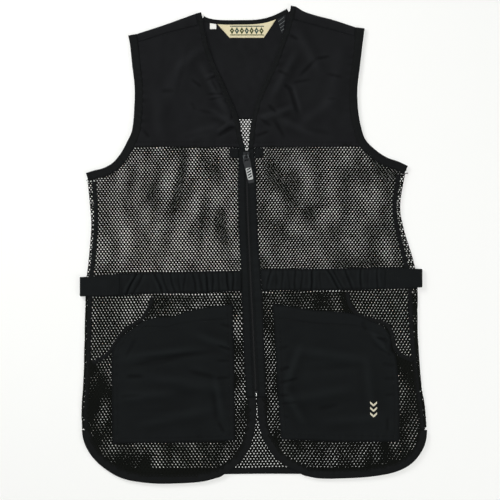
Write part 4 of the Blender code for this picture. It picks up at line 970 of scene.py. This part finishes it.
def build_front(front):
    side, out = front.side, front.out
    rows, columns = 108, 76
    arm_line = front.arm_line(ARMHOLE_BINDING - UNDER)
    neck_line = front.neck_line(NECK_BINDING - UNDER)
    arm = at(arm_line, np.linspace(front.forward_share, front.yoke_share, rows + 1))
    neck = at(neck_line, np.linspace(front.neck_share, 1, rows + 1))
    top = evenly(dense([arm[0], *FORWARD_SEAM[side][1:-1], neck[0]]), columns)
    seam = evenly(np.array([arm[-1], neck[-1]]), columns)
    plan = patch(seam, top, arm[::-1], neck[::-1])
    x, y = plan[..., 0], plan[..., 1]
    mid = np.dstack([plan, yoke_height(x, y)])
    near = np.minimum(*edge_distances(mid)[:2])
    low = edge_distances(mid)[2]
    ripple = 0.3 * waves(y, x * 0, 53 + out, 10) * np.exp(-(near / 9) ** 2)
    ripple += 0.22 * waves(x, y * 0, 56 + out, 9) * np.exp(-(low / 8) ** 2)
    first, second = [np.exp(-((low - seam) / 0.9) ** 2) for seam in YOKE_SEAMS]
    ripple += -0.35 * first - 0.3 * second
    yoke = shell(f"cloth_front_yoke_{side}", mid, WALL, yoke_cloth, ripple)
    declare(yoke, f"front_yoke_{side}")
    for depth in YOKE_SEAMS:
        stitch(yoke, np.array([[arm[-1][0], YOKE_Y + depth], [neck[-1][0], YOKE_Y + depth]]))
    stitch(yoke, beside(evenly(dense(FORWARD_SEAM[side]), 60), out * 2.0))

    shares = np.linspace(0, 1, 230)
    strip(f"binding_armhole_{side}", f"armhole_binding_{side}",
          at(front.arm, shares), at(front.arm_in, shares), front_height, puckers(61 + out, 0.3, 8, 0.86), 11,
          0.35, seams=[at(front.arm_line(ARMHOLE_BINDING - 1.9), shares)])
    shares = np.linspace(0, 1, 190)
    strip(f"binding_neck_{side}", f"neck_binding_{side}", at(front.neck, shares),
          at(front.neck_in, shares), front_height, puckers(65 + out, 0.3, 9, 0.8), 9, 0.3,
          seams=[at(front.neck_line(depth), shares) for depth in (1.6, NECK_BINDING - 1.7)])
    seam_line = front.side_line(front.seam_rows, 220)
    strip(f"binding_side_{side}", f"side_band_{side}", seam_line,
          seam_line - np.array([out * SIDE_BAND, 0]), front_height, puckers(71 + out, 0.3, 11, 0.75), 7, 0.2,
          seams=[seam_line - np.array([out * (SIDE_BAND - 1.7), 0])])

    outer = np.vstack([front.hem, front.curve[1:]])
    inner = np.vstack([front.hem_in, front.curve_in[1:]])
    run = run_of(outer)
    shares = np.linspace(0, 1, 300)
    outer, inner = [np.column_stack([np.interp(shares, run / run[-1], line[:, k]) for k in (0, 1)])
                    for line in (outer, inner)]
    strip(f"binding_hem_{side}", f"hem_binding_{side}", outer, inner,
          FRONT_LEVEL, puckers(75 + out, 0.3, 10, 0.85), 11, 0.35, seams=[outer + (inner - outer) * HEM_SEAM])

    # The net, from under the yoke to under the hem's binding
    arm_cut = part_of(front.arm_line(ARMHOLE_BINDING - NET_UNDER), front.yoke_share - 0.03, 1.0)
    band = seam_line - np.array([out * 1.5, 0])
    hem_cut, curve_cut = front.hem_lines(HEM_BINDING - NET_UNDER)
    placket = front.placket - np.array([out * NET_UNDER, 0])
    polygon = np.vstack([arm_cut, band, hem_cut[4:], curve_cut[:-4], placket[::-1]])

    def outline(x, y):
        return inside(polygon, x, y) & (y < YOKE_Y + 6)

    def place(x, y):
        return np.column_stack([x, y, front_height(x, y) + 0.25 * waves(x, y, 81, 45)])

    further = RIGHT_FURTHER if side == "right" else 1.0
    off = slip((-out * FRONT_LAY[0] * further, FRONT_LAY[1] * further), FRONT_DRIFT, FRONT_DRIFT_SIZE,
               311 + 2 * out, NET_CREASES)
    net = knit(f"cloth_front_net_{side}", outline, place, off, 5 + out)
    declare(net, f"front_net_{side}", flat=plan_size("front_net_" + side))


def build_zip_sides(front):
    side, out = front.side, front.out
    count = 260
    edge, middle = front.zip_edge(count)
    outer = evenly(front.placket, count)

    def relief(mid):
        rows = np.linspace(0, 1, len(mid))[:, None]
        run = run_of(mid[len(mid) // 2])[None]
        ripple = 0.22 * waves(run, run * 0, 91 + out, 16, 6) + 0.10 * waves(run, run * 0, 93 + out, 6, 5)
        first, second = [np.exp(-(((rows - seam) / 0.06) ** 2)) for seam in PLACKET_SEAMS]
        return ripple - 0.5 * first - 0.4 * second

    strip(f"cloth_placket_{side}", f"placket_{side}", outer, edge, PLACKET_LEVEL,
          relief, 13, 0.35, 3.0, PLACKET_WALL, shell_cloth,
          [outer + (edge - outer) * share for share in PLACKET_SEAMS])
    strip(f"zip_tape_cloth_{side}", f"zip_tape_{side}",
          edge + np.array([out * 3.0, 0]), middle, TAPE_LEVEL, None, 3, 0.0, 0.8, 1.3, tape_cloth)


def build_zip_patch(front):
    size = 14.0
    top = YOKE_Y - 1.5
    y = np.linspace(top - size, YOKE_Y - 0.2, 16)
    edge = front.placket_x(y) + front.out * SEAM_GAP
    x = edge[:, None] + front.out * np.linspace(0, size, 16)
    plan = np.dstack([x, np.broadcast_to(y[:, None], x.shape)])
    lift = 0.35 * waves(plan[..., 0], plan[..., 1], 97, 12)
    mid = np.dstack([plan, ZIP_PATCH_LEVEL + lift])
    piece = shell(f"cloth_zip_patch_{front.side}", mid, WALL, shell_cloth)
    declare(piece, f"zip_patch_{front.side}")
    a, b = 1.6, size - 1.6
    corners = ((a, a), (b, a), (b, b), (a, b), (a, a))
    square = np.array([(front.placket_x(top - v) + front.out * (SEAM_GAP + u), top - v) for u, v in corners])
    for line in (square, square[[0, 2]]):
        stitch(piece, line, 2.2, 1.6)


def belt_grid(rows, count, across):
    top = evenly(dense([(x, y) for x, y, low in rows]), count)
    bottom = evenly(dense([(x, low) for x, y, low in rows]), count)
    share = np.linspace(0, 1, across + 1)[:, None, None]
    return (1 - share) * top[None] + share * bottom[None], share[..., 0]


def build_belt(front):
    side, out = front.side, front.out
    across = 26
    plan, share = belt_grid(BELT[side], 180, across)
    end, end_reach = BELT[side][-1][0], 20.0
    edge = front.placket_x(plan[..., 1]) + out * SEAM_GAP
    plan[..., 0] += (edge - end) * np.clip(1 - abs(plan[..., 0] - end) / end_reach, 0, 1)
    x, y = plan[..., 0], plan[..., 1]
    lift = 1.5 + 0.35 * waves(x, y * 0.3, 101 + out, 11) + 0.25 * waves(x, y, 103, 24)
    for top, bottom, width, depth in BELT_CREASES[side]:
        spot = top + (bottom - top) * share + 0.8 * np.sin(share * 5 + top)
        lift = lift - depth * np.exp(-((x - spot) / width) ** 2)
        lift = lift + 0.45 * depth * np.exp(-((x - spot - width * 1.9) / width / 1.2) ** 2)
        lift = lift + 0.30 * depth * np.exp(-((x - spot + width * 1.9) / width / 1.2) ** 2)
    ends = np.minimum(1, np.minimum(abs(x - x[:, :1]), abs(x - x[:, -1:])) / 9)
    crown = np.clip(1 - np.abs(2 * share - 1) ** 6, 0, 1)
    mid = np.dstack([plan, BELT_LEVEL + np.clip(lift, -0.7, 4) * ends * (0.35 + 0.65 * crown)])
    seam = -0.45 * sum(np.exp(-((share - row) / 0.02) ** 2) for row in BELT_SEAMS)
    piece = shell(f"cloth_belt_{side}", mid, BELT_WALL, shell_cloth, seam + x * 0, lip=2.0)
    width, length = plan_size("belt_" + side)
    declare(piece, f"belt_{side}",
            flat=(width * GATHERED, length), area=piece["plan_area"] * GATHERED)
    for row in BELT_SEAMS:
        stitch(piece, plan[int(row * across + 0.5)])

    # The flat end turns down over the side to the surface
    plan, share = belt_grid(BELT_TAB[side], 44, 18)
    low_z = BELT_WALL / 2
    radius = (BELT_LEVEL - low_z) / 2
    reach = radius + BELT_WALL / 2
    end = plan[0, -1, 0] - out * reach
    flat_part = plan.copy()
    first = flat_part[:, :1, 0]
    flat_part[..., 0] = first + (plan[..., 0] - first) * (end - first) / (plan[:, -1:, 0] - first)
    x, y = flat_part[..., 0], flat_part[..., 1]
    z = BELT_LEVEL + 0.18 * waves(x, y, 107, 26) * np.clip(abs(x - end) / 8, 0, 1)
    grid = [np.dstack([flat_part, z])]
    for turn in np.radians(np.arange(78, -91, -12)):
        spot = flat_part[:, -1] + np.array([out * radius * math.cos(turn), 0])
        level = np.full(len(spot), low_z + radius * (1 + math.sin(turn)))
        grid.append(np.column_stack([spot, level])[:, None])
    mid = np.concatenate(grid, axis=1)
    tab = shell(f"cloth_belt_tab_{side}", mid, BELT_WALL, shell_cloth, lip=1.6)
    width, length = float(run_of(mid[9])[-1]) * MM, plan_size("belt_tab_" + side)[1]
    declare(tab, f"belt_tab_{side}",
            flat=(width, length), area=width * length * 0.96)
    # A crossed box of stitches
    first_row, last_row, first_column, last_column = 1, 17, 2, 15
    for row in (first_row, last_row):
        stitch(tab, flat_part[row, 1:])
    for column in (first_column, last_column):
        stitch(tab, flat_part[first_row:last_row + 1, column])
    for start, end in ((first_row, last_row), (last_row, first_row)):
        stitch(tab, np.array([flat_part[start, first_column], flat_part[end, last_column]]))


def build_hand_pocket(front):
    """A second layer of net over the lower front, open along its bound mouth."""
    side, out = front.side, front.out
    mouth = dense(HAND_MOUTH[side])
    mouth_in = beside(mouth, -out * HAND_BINDING)
    shares = np.linspace(0, 1, 120)
    strip(f"binding_hand_pocket_{side}", f"hand_pocket_binding_{side}",
          at(mouth, shares), at(mouth_in, shares), HAND_POCKET_LEVEL, puckers(111 + out, 0.25, 8, 0.7), 7,
          seams=[at(beside(mouth, -out * (HAND_BINDING - 1.6)), shares)])
    cut = beside(mouth, -out * 1.5)
    band = front.seam_rows[front.seam_rows[:, 1] < cut[-1, 1]] - np.array([out * (SIDE_BAND - 2.5), 0])
    hem_cut, curve_cut = front.hem_lines(HEM_BINDING - 3)
    placket = front.placket[front.placket[:, 1] < cut[0, 1]] - np.array([out * -1.0, 0])
    polygon = np.vstack([cut, band, hem_cut[8:], curve_cut[:-3], placket[::-1]])

    def outline(x, y):
        return inside(polygon, x, y)

    def place(x, y):
        z = HAND_POCKET_LEVEL - 0.15 + 0.25 * waves(x, y, 117, 50)
        return np.column_stack([x, y, z])

    off = slip((out * POCKET_LAY[0], -POCKET_LAY[1]), POCKET_DRIFT, POCKET_DRIFT_SIZE, 321 + 2 * out,
               HAND_POCKET_CREASES)
    net = knit(f"cloth_hand_pocket_{side}", outline, place, off, 15 + out)
    declare(net, f"hand_pocket_{side}",
            flat=plan_size("hand_pocket_" + side))


def build_patch_pocket(front):
    side, out = front.side, front.out
    columns, rows = 104, 114
    outer, inner = evenly(dense(PATCH_OUTER[side]), rows), evenly(dense(PATCH_INNER[side]), rows)
    bottom, top = evenly(dense(PATCH_BOTTOM[side]), columns), evenly(dense(PATCH_TOP[side]), columns)
    plan = patch(bottom, top, outer, inner)
    x, y = plan[..., 0], plan[..., 1]
    far = edge_distances(np.dstack([plan, x * 0]))
    near = np.minimum(np.minimum(far[0], far[1]), far[2])
    tacked = 1 - np.exp(-(near / 7) ** 2)
    lift = folds(x, y, POCKET_FOLDS) + folds(x, y, POCKET_CREASES)
    lift += 0.35 * waves(x, y, 121, 70) + 0.08 * waves(x, y, 122, 22)
    lift += 0.35 * waves(y, x * 0, 123 + out, 11) * np.exp(-((np.minimum(far[0], far[1]) - 5) / 7) ** 2)
    lift += 0.3 * waves(x, y * 0, 125 + out, 12) * np.exp(-((far[2] - 5) / 7) ** 2)
    z = PATCH_POCKET_LEVEL + np.clip(lift, -0.8, 6) * (0.25 + 0.75 * tacked) - 0.35 * (1 - tacked)
    mid = np.dstack([plan, z])
    rim = np.minimum(near, far[3])
    edge_seam, second_seam = POCKET_SEAMS
    seam = -0.4 * np.exp(-((rim - edge_seam) / 0.8) ** 2) - 0.35 * np.exp(-((near - second_seam) / 0.8) ** 2)
    seam += -0.4 * np.exp(-((far[3] - POCKET_TOP_SEAM) / 0.9) ** 2) + 0.25 * np.exp(-((far[3] - 10) / 9) ** 4)
    piece = shell(f"cloth_patch_pocket_{side}", mid, WALL, shell_cloth, seam, lip=1.8, plump=0.15)
    pockets[side] = piece
    declare(piece, f"patch_pocket_{side}")
    for depth in POCKET_SEAMS:
        for line, turn in ((outer, out), (inner, -out), (bottom, -out)):
            stitch(piece, beside(line, turn * depth))
    for depth in (POCKET_SEAMS[0], POCKET_TOP_SEAM):
        stitch(piece, beside(top, out * depth))


# Label, tags and the mark on the pocket
def lozenge_row(onto, centre, shade):
    """Rows of satin stitch for every other one of seven lozenges with open middles, and its bar."""
    pitch, tall, slope, step = 7.6, 5.6, 0.66, 0.6
    runs = []
    for k in range(-3, 4):
        if (k + 3) % 2 != shade:
            continue
        middle = centre + [k * pitch, 0]
        for row in np.arange(-tall, tall + 0.1, step):
            half = (tall - abs(row)) * slope
            hollow = (tall * 0.26 - abs(row)) * slope
            spans = [(-half, half)] if hollow < 0.2 else [(-half, -hollow), (hollow, half)]
            for a, b in spans:
                if b - a > 0.5:
                    runs.append((onto, np.array([middle + [a, row], middle + [b, row]]), b - a, b - a, 0.9))
    bar, bar_y = 26.0, (6.6 if shade else -6.9)
    for y in (bar_y, bar_y + 0.7):
        runs.append((onto, np.array([centre + [-bar, y], centre + [bar, y]]), 1.7, 1.9, 0.9))
    return runs


def build_labels():
    edge = beside(dense(BACK_NECK_EDGE), -BACK_NECK_BINDING)
    order = np.argsort(edge[:, 0])
    pieces = (("neck_label", label_cloth, "label", (-56, 35), [(-37, 320.5), (16, 320.5)], 60, 24),
              ("size_tag", tag_cloth, "tag", (-67.5, -57.5), [(-67.5, 334), (-57.5, 334)], 12, 14),
              ("care_tag", care_cloth, "care_tag", (36.5, 50.5), [(43, 327), (46, 327)], 12, 26))
    sewn_on = {}
    for name, finish, slot, (start, end), bottom, columns, rows in pieces:
        x = np.linspace(start, end, columns + 1)
        top = np.column_stack([x, np.interp(x, edge[order, 0], edge[order, 1]) + 1.0])
        low = evenly(np.array(bottom, float), columns)
        share = np.linspace(0, 1, rows + 1)[:, None, None]
        plan = (1 - share) * low[None] + share * top[None]
        z = LABEL_LEVEL + 0.18 * waves(plan[..., 0], plan[..., 1], 131, 26) * (1 - share[..., 0] ** 3)
        piece = shell(f"cloth_{name}", np.dstack([plan, z]), LABEL_WALL, finish, lip=0.6)
        sewn_on[name] = piece
        declare(piece, name)
    label, tag = sewn_on["neck_label"], sewn_on["care_tag"]
    corners = np.array([(-52, 339), (-36.5, 322), (15.5, 322), (31, 340), (-52, 339)])
    border = np.vstack([np.linspace(a, b, 20) for a, b in zip(corners[:-1], corners[1:])])
    sew("label_border", [(label, border, 1.5, 1.5, 0.5)], cream_thread)
    for shade, thread in enumerate((green_thread, teal_thread)):
        runs = lozenge_row(label, np.array([-10.5, 331.4]), shade)
        sew(f"label_lozenges_{shade}", runs, thread)
    runs = []
    lean = 0.66
    for x, y, half in ((43.0, 349.0, 6.0), (44.2, 343.5, 5.6), (44.8, 338.0, 4.4), (45.0, 332.5, 2.8)):
        middle, slant = np.array([x, y]), np.array([math.cos(lean), math.sin(lean)]) * half
        runs.append((tag, np.array([middle - slant, middle + slant]), 1.9, 1.5, 1.0))
    sew("care_tag_lines", runs, grey_thread)


def build_mark():
    """A small plain motif in cream satin stitch: three nested chevrons."""
    centre = np.array([185.6, -254.5])
    arm, rise, thick, step = 5.6, 5.0, 4.2, 0.75
    runs = []
    for level in (-8.4, 0.0, 8.4):
        for side in (-1, 1):
            for across in np.arange(0.4, arm, step):
                low = level + rise * (across / arm - 0.5) - thick / 2
                line = centre + np.array([(side * across, low), (side * across, low + thick)])
                runs.append((pockets["right"], line, thick, thick, 0.85))
    sew("pocket_mark", runs, cream_thread)


# The zip's teeth, stops, slider and pull
def oblong(x0, x1, y0, y1):
    return [(x0, y0), (x1, y0), (x1, y1), (x0, y1)]


def block(name, outline, low, high, finish, bevel, body="vest", place=None):
    """A plate of this outline between two heights, its edges rounded."""
    bm = bmesh.new()
    verts = [bm.verts.new((x * MM, y * MM, low * MM)) for x, y in outline]
    base = bm.faces.new(verts)
    up = bmesh.ops.extrude_face_region(bm, geom=[base])
    moved = [v for v in up["geom"] if isinstance(v, bmesh.types.BMVert)]
    bmesh.ops.translate(bm, vec=(0, 0, (high - low) * MM), verts=moved)
    bmesh.ops.recalc_face_normals(bm, faces=bm.faces)
    bmesh.ops.bevel(bm, geom=list(bm.edges), offset=bevel * MM, segments=3, profile=0.6, affect="EDGES",
                    clamp_overlap=True)
    if place is not None:
        for v in bm.verts:
            v.co = Vector(place(np.array(v.co) / MM)) * MM
    mesh = bpy.data.meshes.new(name)
    bm.to_mesh(mesh)
    bm.free()
    mesh.shade_smooth()
    mesh.materials.append(finish)
    piece = bpy.data.objects.new(name, mesh)
    bpy.context.scene.collection.objects.link(piece)
    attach(piece, body)
    return piece


def rounded(width, length, corner, steps=5, taper=1.0, y0=0.0):
    """A rounded oblong hanging down from y0, its lower end narrower by taper."""
    points = []
    for cx, cy, start in ((1, 0, 0), (-1, 0, 90), (-1, -1, 180), (1, -1, 270)):
        for turn in np.radians(np.linspace(start, start + 90, steps)):
            half = width / 2 * (1 if cy == 0 else taper)
            points.append((cx * (half - corner) + corner * math.cos(turn),
                           y0 + (cy * (length - 2 * corner) - corner) + corner * math.sin(turn)))
    return points


def merge(name, pieces):
    """Joins pieces into the first and names it."""
    bm = bmesh.new()
    finishes = []
    for piece in pieces:
        part = bmesh.new()
        part.from_mesh(piece.data)
        finish = piece.data.materials[0]
        if finish not in finishes:
            finishes.append(finish)
        for face in part.faces:
            face.material_index = finishes.index(finish)
        mesh = bpy.data.meshes.new("part")
        part.to_mesh(mesh)
        part.free()
        bm.from_mesh(mesh)
        bpy.data.meshes.remove(mesh)
    first = pieces[0]
    first.data.materials.clear()
    for finish in finishes:
        first.data.materials.append(finish)
    bm.to_mesh(first.data)
    bm.free()
    for piece in pieces[1:]:
        bpy.data.objects.remove(piece)
    first.name = name
    return first


def build_teeth():
    line = dense(ZIP_LINE)
    run = run_of(line)
    pitch = 1.9
    stations = np.arange(6, run[-1] - 12, pitch)
    points, faces = [], []
    box = [(0, 1, 2, 3), (7, 6, 5, 4), (0, 4, 5, 1), (1, 5, 6, 2), (2, 6, 7, 3), (3, 7, 4, 0)]
    for s in stations:
        for side in (-1, 1):
            station = s + (pitch / 2 if side > 0 else 0)
            x = np.interp(station, run, line[:, 0])
            y = np.interp(station, run, line[:, 1])
            inner, outer = x - side * 0.75, x + side * 1.75
            first = len(points)
            for z, grow in ((TAPE_LEVEL + 0.3, 1.0), (TAPE_LEVEL + 1.25, 0.72)):
                mid = (inner + outer) / 2
                a, b = mid + (inner - mid) * grow, mid + (outer - mid) * grow
                half = 0.58 * grow
                points += [(a, y - half, z), (b, y - half, z), (b, y + half, z), (a, y + half, z)]
            turned = [tuple(first + v for v in face) for face in box]
            faces += turned if side > 0 else [face[::-1] for face in turned]
    add("zip_teeth", points, faces, zip_plastic, smooth=False)


def build_slider():
    top = SLIDER_BOTTOM + SLIDER_HEIGHT
    shape = [(-5, 4.6), (-4.2, 5.8), (-1.6, 6.2), (0, 5.2), (1.6, 6.2), (4.2, 5.8), (5, 4.6), (4.8, 0.5),
             (3.6, -5.4), (2.6, -6.2), (-2.6, -6.2), (-3.6, -5.4), (-4.8, 0.5)]
    shape = [(SLIDER_X + x, SLIDER_Y + y) for x, y in shape]
    plates = [block("slider_top", shape, SLIDER_BOTTOM + 0.9, top, dark_metal, 0.4),
              block("slider_wings", [(SLIDER_X + (x - SLIDER_X) * 0.94, y) for x, y in shape],
                    SLIDER_BOTTOM + 0.05, SLIDER_BOTTOM + 1.1, dark_metal, 0.3)]
    # The bridge is an arch over the pull's pin
    half_width, wall = 1.15, 0.95
    arch = []
    for turn in math.pi * np.linspace(0, 1, 17):
        arch.append((SLIDER_Y - 3.9 * math.cos(turn), top - 0.5 + 4.4 * math.sin(turn) ** 0.55))
    points, faces = [], []
    for y, z in arch:
        points += [(SLIDER_X - half_width, y, z), (SLIDER_X + half_width, y, z)]
    for y, z in arch:
        shift = np.array([y - SLIDER_Y, z - top])
        inner = shift - shift / np.linalg.norm(shift) * wall
        y2, z2 = SLIDER_Y + inner[0], top + inner[1]
        points += [(SLIDER_X - half_width, y2, z2), (SLIDER_X + half_width, y2, z2)]
    n = len(arch) * 2
    for k in range(len(arch) - 1):
        a, b, c, d = 2 * k, 2 * k + 1, 2 * k + 3, 2 * k + 2
        faces += [(a, b, c, d), (n + d, n + c, n + b, n + a), (a, d, n + d, n + a), (b, n + b, n + c, c)]
    faces += [(0, n, n + 1, 1), (n - 2, n - 1, 2 * n - 1, 2 * n - 2)]
    plates.append(add("slider_bridge", points, faces, dark_metal))
    slider = merge("zip_slider_metal", plates)
    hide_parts("zip_slider")
    for name, k in (("left", -1), ("right", 1)):
        x = ZIP_LINE[0][0] - 0.6 + k * 1.0
        stop = block(f"zip_top_stop_{name}", oblong(x - 0.7, x + 0.7, 145.9, 149.4), TAPE_LEVEL + 0.5,
                     TAPE_LEVEL + 2.0, bright_metal, 0.4)


def build_pull():
    """A rubber pull on a pin under the bridge, leaning a little and lying down on the zip."""
    lean = math.radians(PULL_LEAN_DEG)
    drop_z = PIN_Z - PULL_WALL / 2 - 0.3 - (PLACKET_LEVEL + PLACKET_WALL / 2)
    slope = math.asin(drop_z / PULL_LENGTH)

    def place(p):
        x, y, z = p
        y2 = y * math.cos(slope) - z * math.sin(slope)
        z2 = y * math.sin(slope) + z * math.cos(slope)
        return (PULL_X + x * math.cos(lean) - y2 * math.sin(lean),
                SLIDER_Y + x * math.sin(lean) + y2 * math.cos(lean), PIN_Z + z2)

    low, high = -PULL_WALL / 2, PULL_WALL / 2
    parts = []

    def part(name, outline, bottom, top, finish, bevel):
        parts.append(block(name, outline, bottom, top, finish, bevel, "pull_tab", place))

    # The metal link's arms and its crossbar round the pin, and the rubber that holds them
    for k in (-1, 1):
        part("arm", oblong(k * 3.9 - 0.7, k * 3.9 + 0.7, 0.8, -5.4), -0.7, 0.7, link_metal, 0.35)
        part("cheek", oblong(k * 4.3 - 1.3, k * 4.3 + 1.3, -5.2, -10.4), low, high * 0.7, pull_rubber, 0.4)
    part("pin", oblong(-4.3, 4.3, 0.8, -0.8), -0.8, 0.8, link_metal, 0.5)
    part("head", [(-4.9, -4.6), (4.9, -4.6), (5.3, -6.6), (-5.3, -6.6)], low, high * 0.7, pull_rubber, 0.4)
    body = rounded(PULL_WIDTH, PULL_LENGTH - 9.0, 1.4, 6, 0.84, -8.5)
    part("body", body, low, high * 0.7, pull_rubber, 0.5)
    plate_top, plate_length, ribs = -19.6, 18.6, 4
    plate = rounded(PULL_WIDTH * 0.78, plate_length, 1.8, 6, 0.94, plate_top)
    part("plate", plate, high * 0.55, high * 0.85, pale_rubber, 0.1)
    for k in range(ribs):
        y = plate_top - plate_length * (k + 0.75) / (ribs + 0.5)
        rib = [(-3.2, y - 1.1), (3.2, y + 1.1), (3.2, y + 3.3), (-3.2, y + 1.1)]
        part("rib", rib, high * 0.6, high * 1.15, pull_rubber, 0.12)
    pull = merge("zip_pull_rubber", parts)
    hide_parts("zip_pull_tab")


def build_stop():
    x, y = ZIP_LINE[-1]
    box = block("stop_box", oblong(x - 2.5, x + 2.5, y + 1, y + 9.6), 3.9, 5.4, zip_plastic, 0.45)
    clip = block("stop_clip", oblong(x - 0.5, x + 1.1, y + 1.4, y + 6.8), 5.0, 6.0, bright_metal, 0.4)
    stop = merge("zip_stop_metal", [clip, box])
    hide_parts("zip_stop")


# The stage
floor_mesh = bpy.data.meshes.new("floor")
reach, floor_z = 4.0, -0.0002
floor_mesh.from_pydata([(x, y, floor_z) for x, y in oblong(-reach, reach, -reach, reach)], [], [(0, 1, 2, 3)])
floor_finish = material("stage_floor", {"Base Color": (0.9, 0.905, 0.885, 1), "Roughness": 0.9,
                                        "Specular IOR Level": 0.1})[0]
floor_mesh.materials.append(floor_finish)
floor = bpy.data.objects.new("floor", floor_mesh)
bpy.context.scene.collection.objects.link(floor)

build_back_net()
build_back_yoke()
build_back_bindings()
for front in (left, right):
    build_front(front)
    build_zip_sides(front)
    build_zip_patch(front)
    build_belt(front)
    build_hand_pocket(front)
    build_patch_pocket(front)
build_labels()
build_mark()
build_teeth()
build_slider()
build_pull()
build_stop()
sew("stitching", thread_runs, black_thread)

# Camera straight above, as the photograph is taken
view_x, view_y, view_height, view_width = -0.0054, -0.0082, 3.0, 0.775
camera_data = bpy.data.cameras.new("camera")
camera_data.sensor_width = 36.0
camera_data.lens = 36.0 * view_height / view_width
camera = bpy.data.objects.new("camera", camera_data)
camera.location = (view_x, view_y, view_height)
bpy.context.scene.collection.objects.link(camera)
bpy.context.scene.camera = camera

world = bpy.data.worlds.new("studio")
world.use_nodes = True
world.node_tree.nodes["Background"].inputs[0].default_value = (1.0, 1.0, 1.0, 1)
world.node_tree.nodes["Background"].inputs[1].default_value = 0.15
bpy.context.scene.world = world


def area_light(name, place, size, watts, aim=(0, 0, 0)):
    data = bpy.data.lights.new(name, "AREA")
    data.shape = "DISK"
    data.size = size
    data.energy = watts
    lamp = bpy.data.objects.new(name, data)
    lamp.location = place
    lamp.rotation_euler = (Vector(aim) - Vector(place)).to_track_quat("-Z", "Y").to_euler()
    bpy.context.scene.collection.objects.link(lamp)


area_light("key", (-1.6, 1.4, 1.1), 0.8, 26)
area_light("fill", (1.9, -1.1, 1.3), 1.2, 13)
area_light("top", (0.0, 0.05, 3.3), 0.3, 70)
bpy.context.scene.view_settings.view_transform = "Standard"
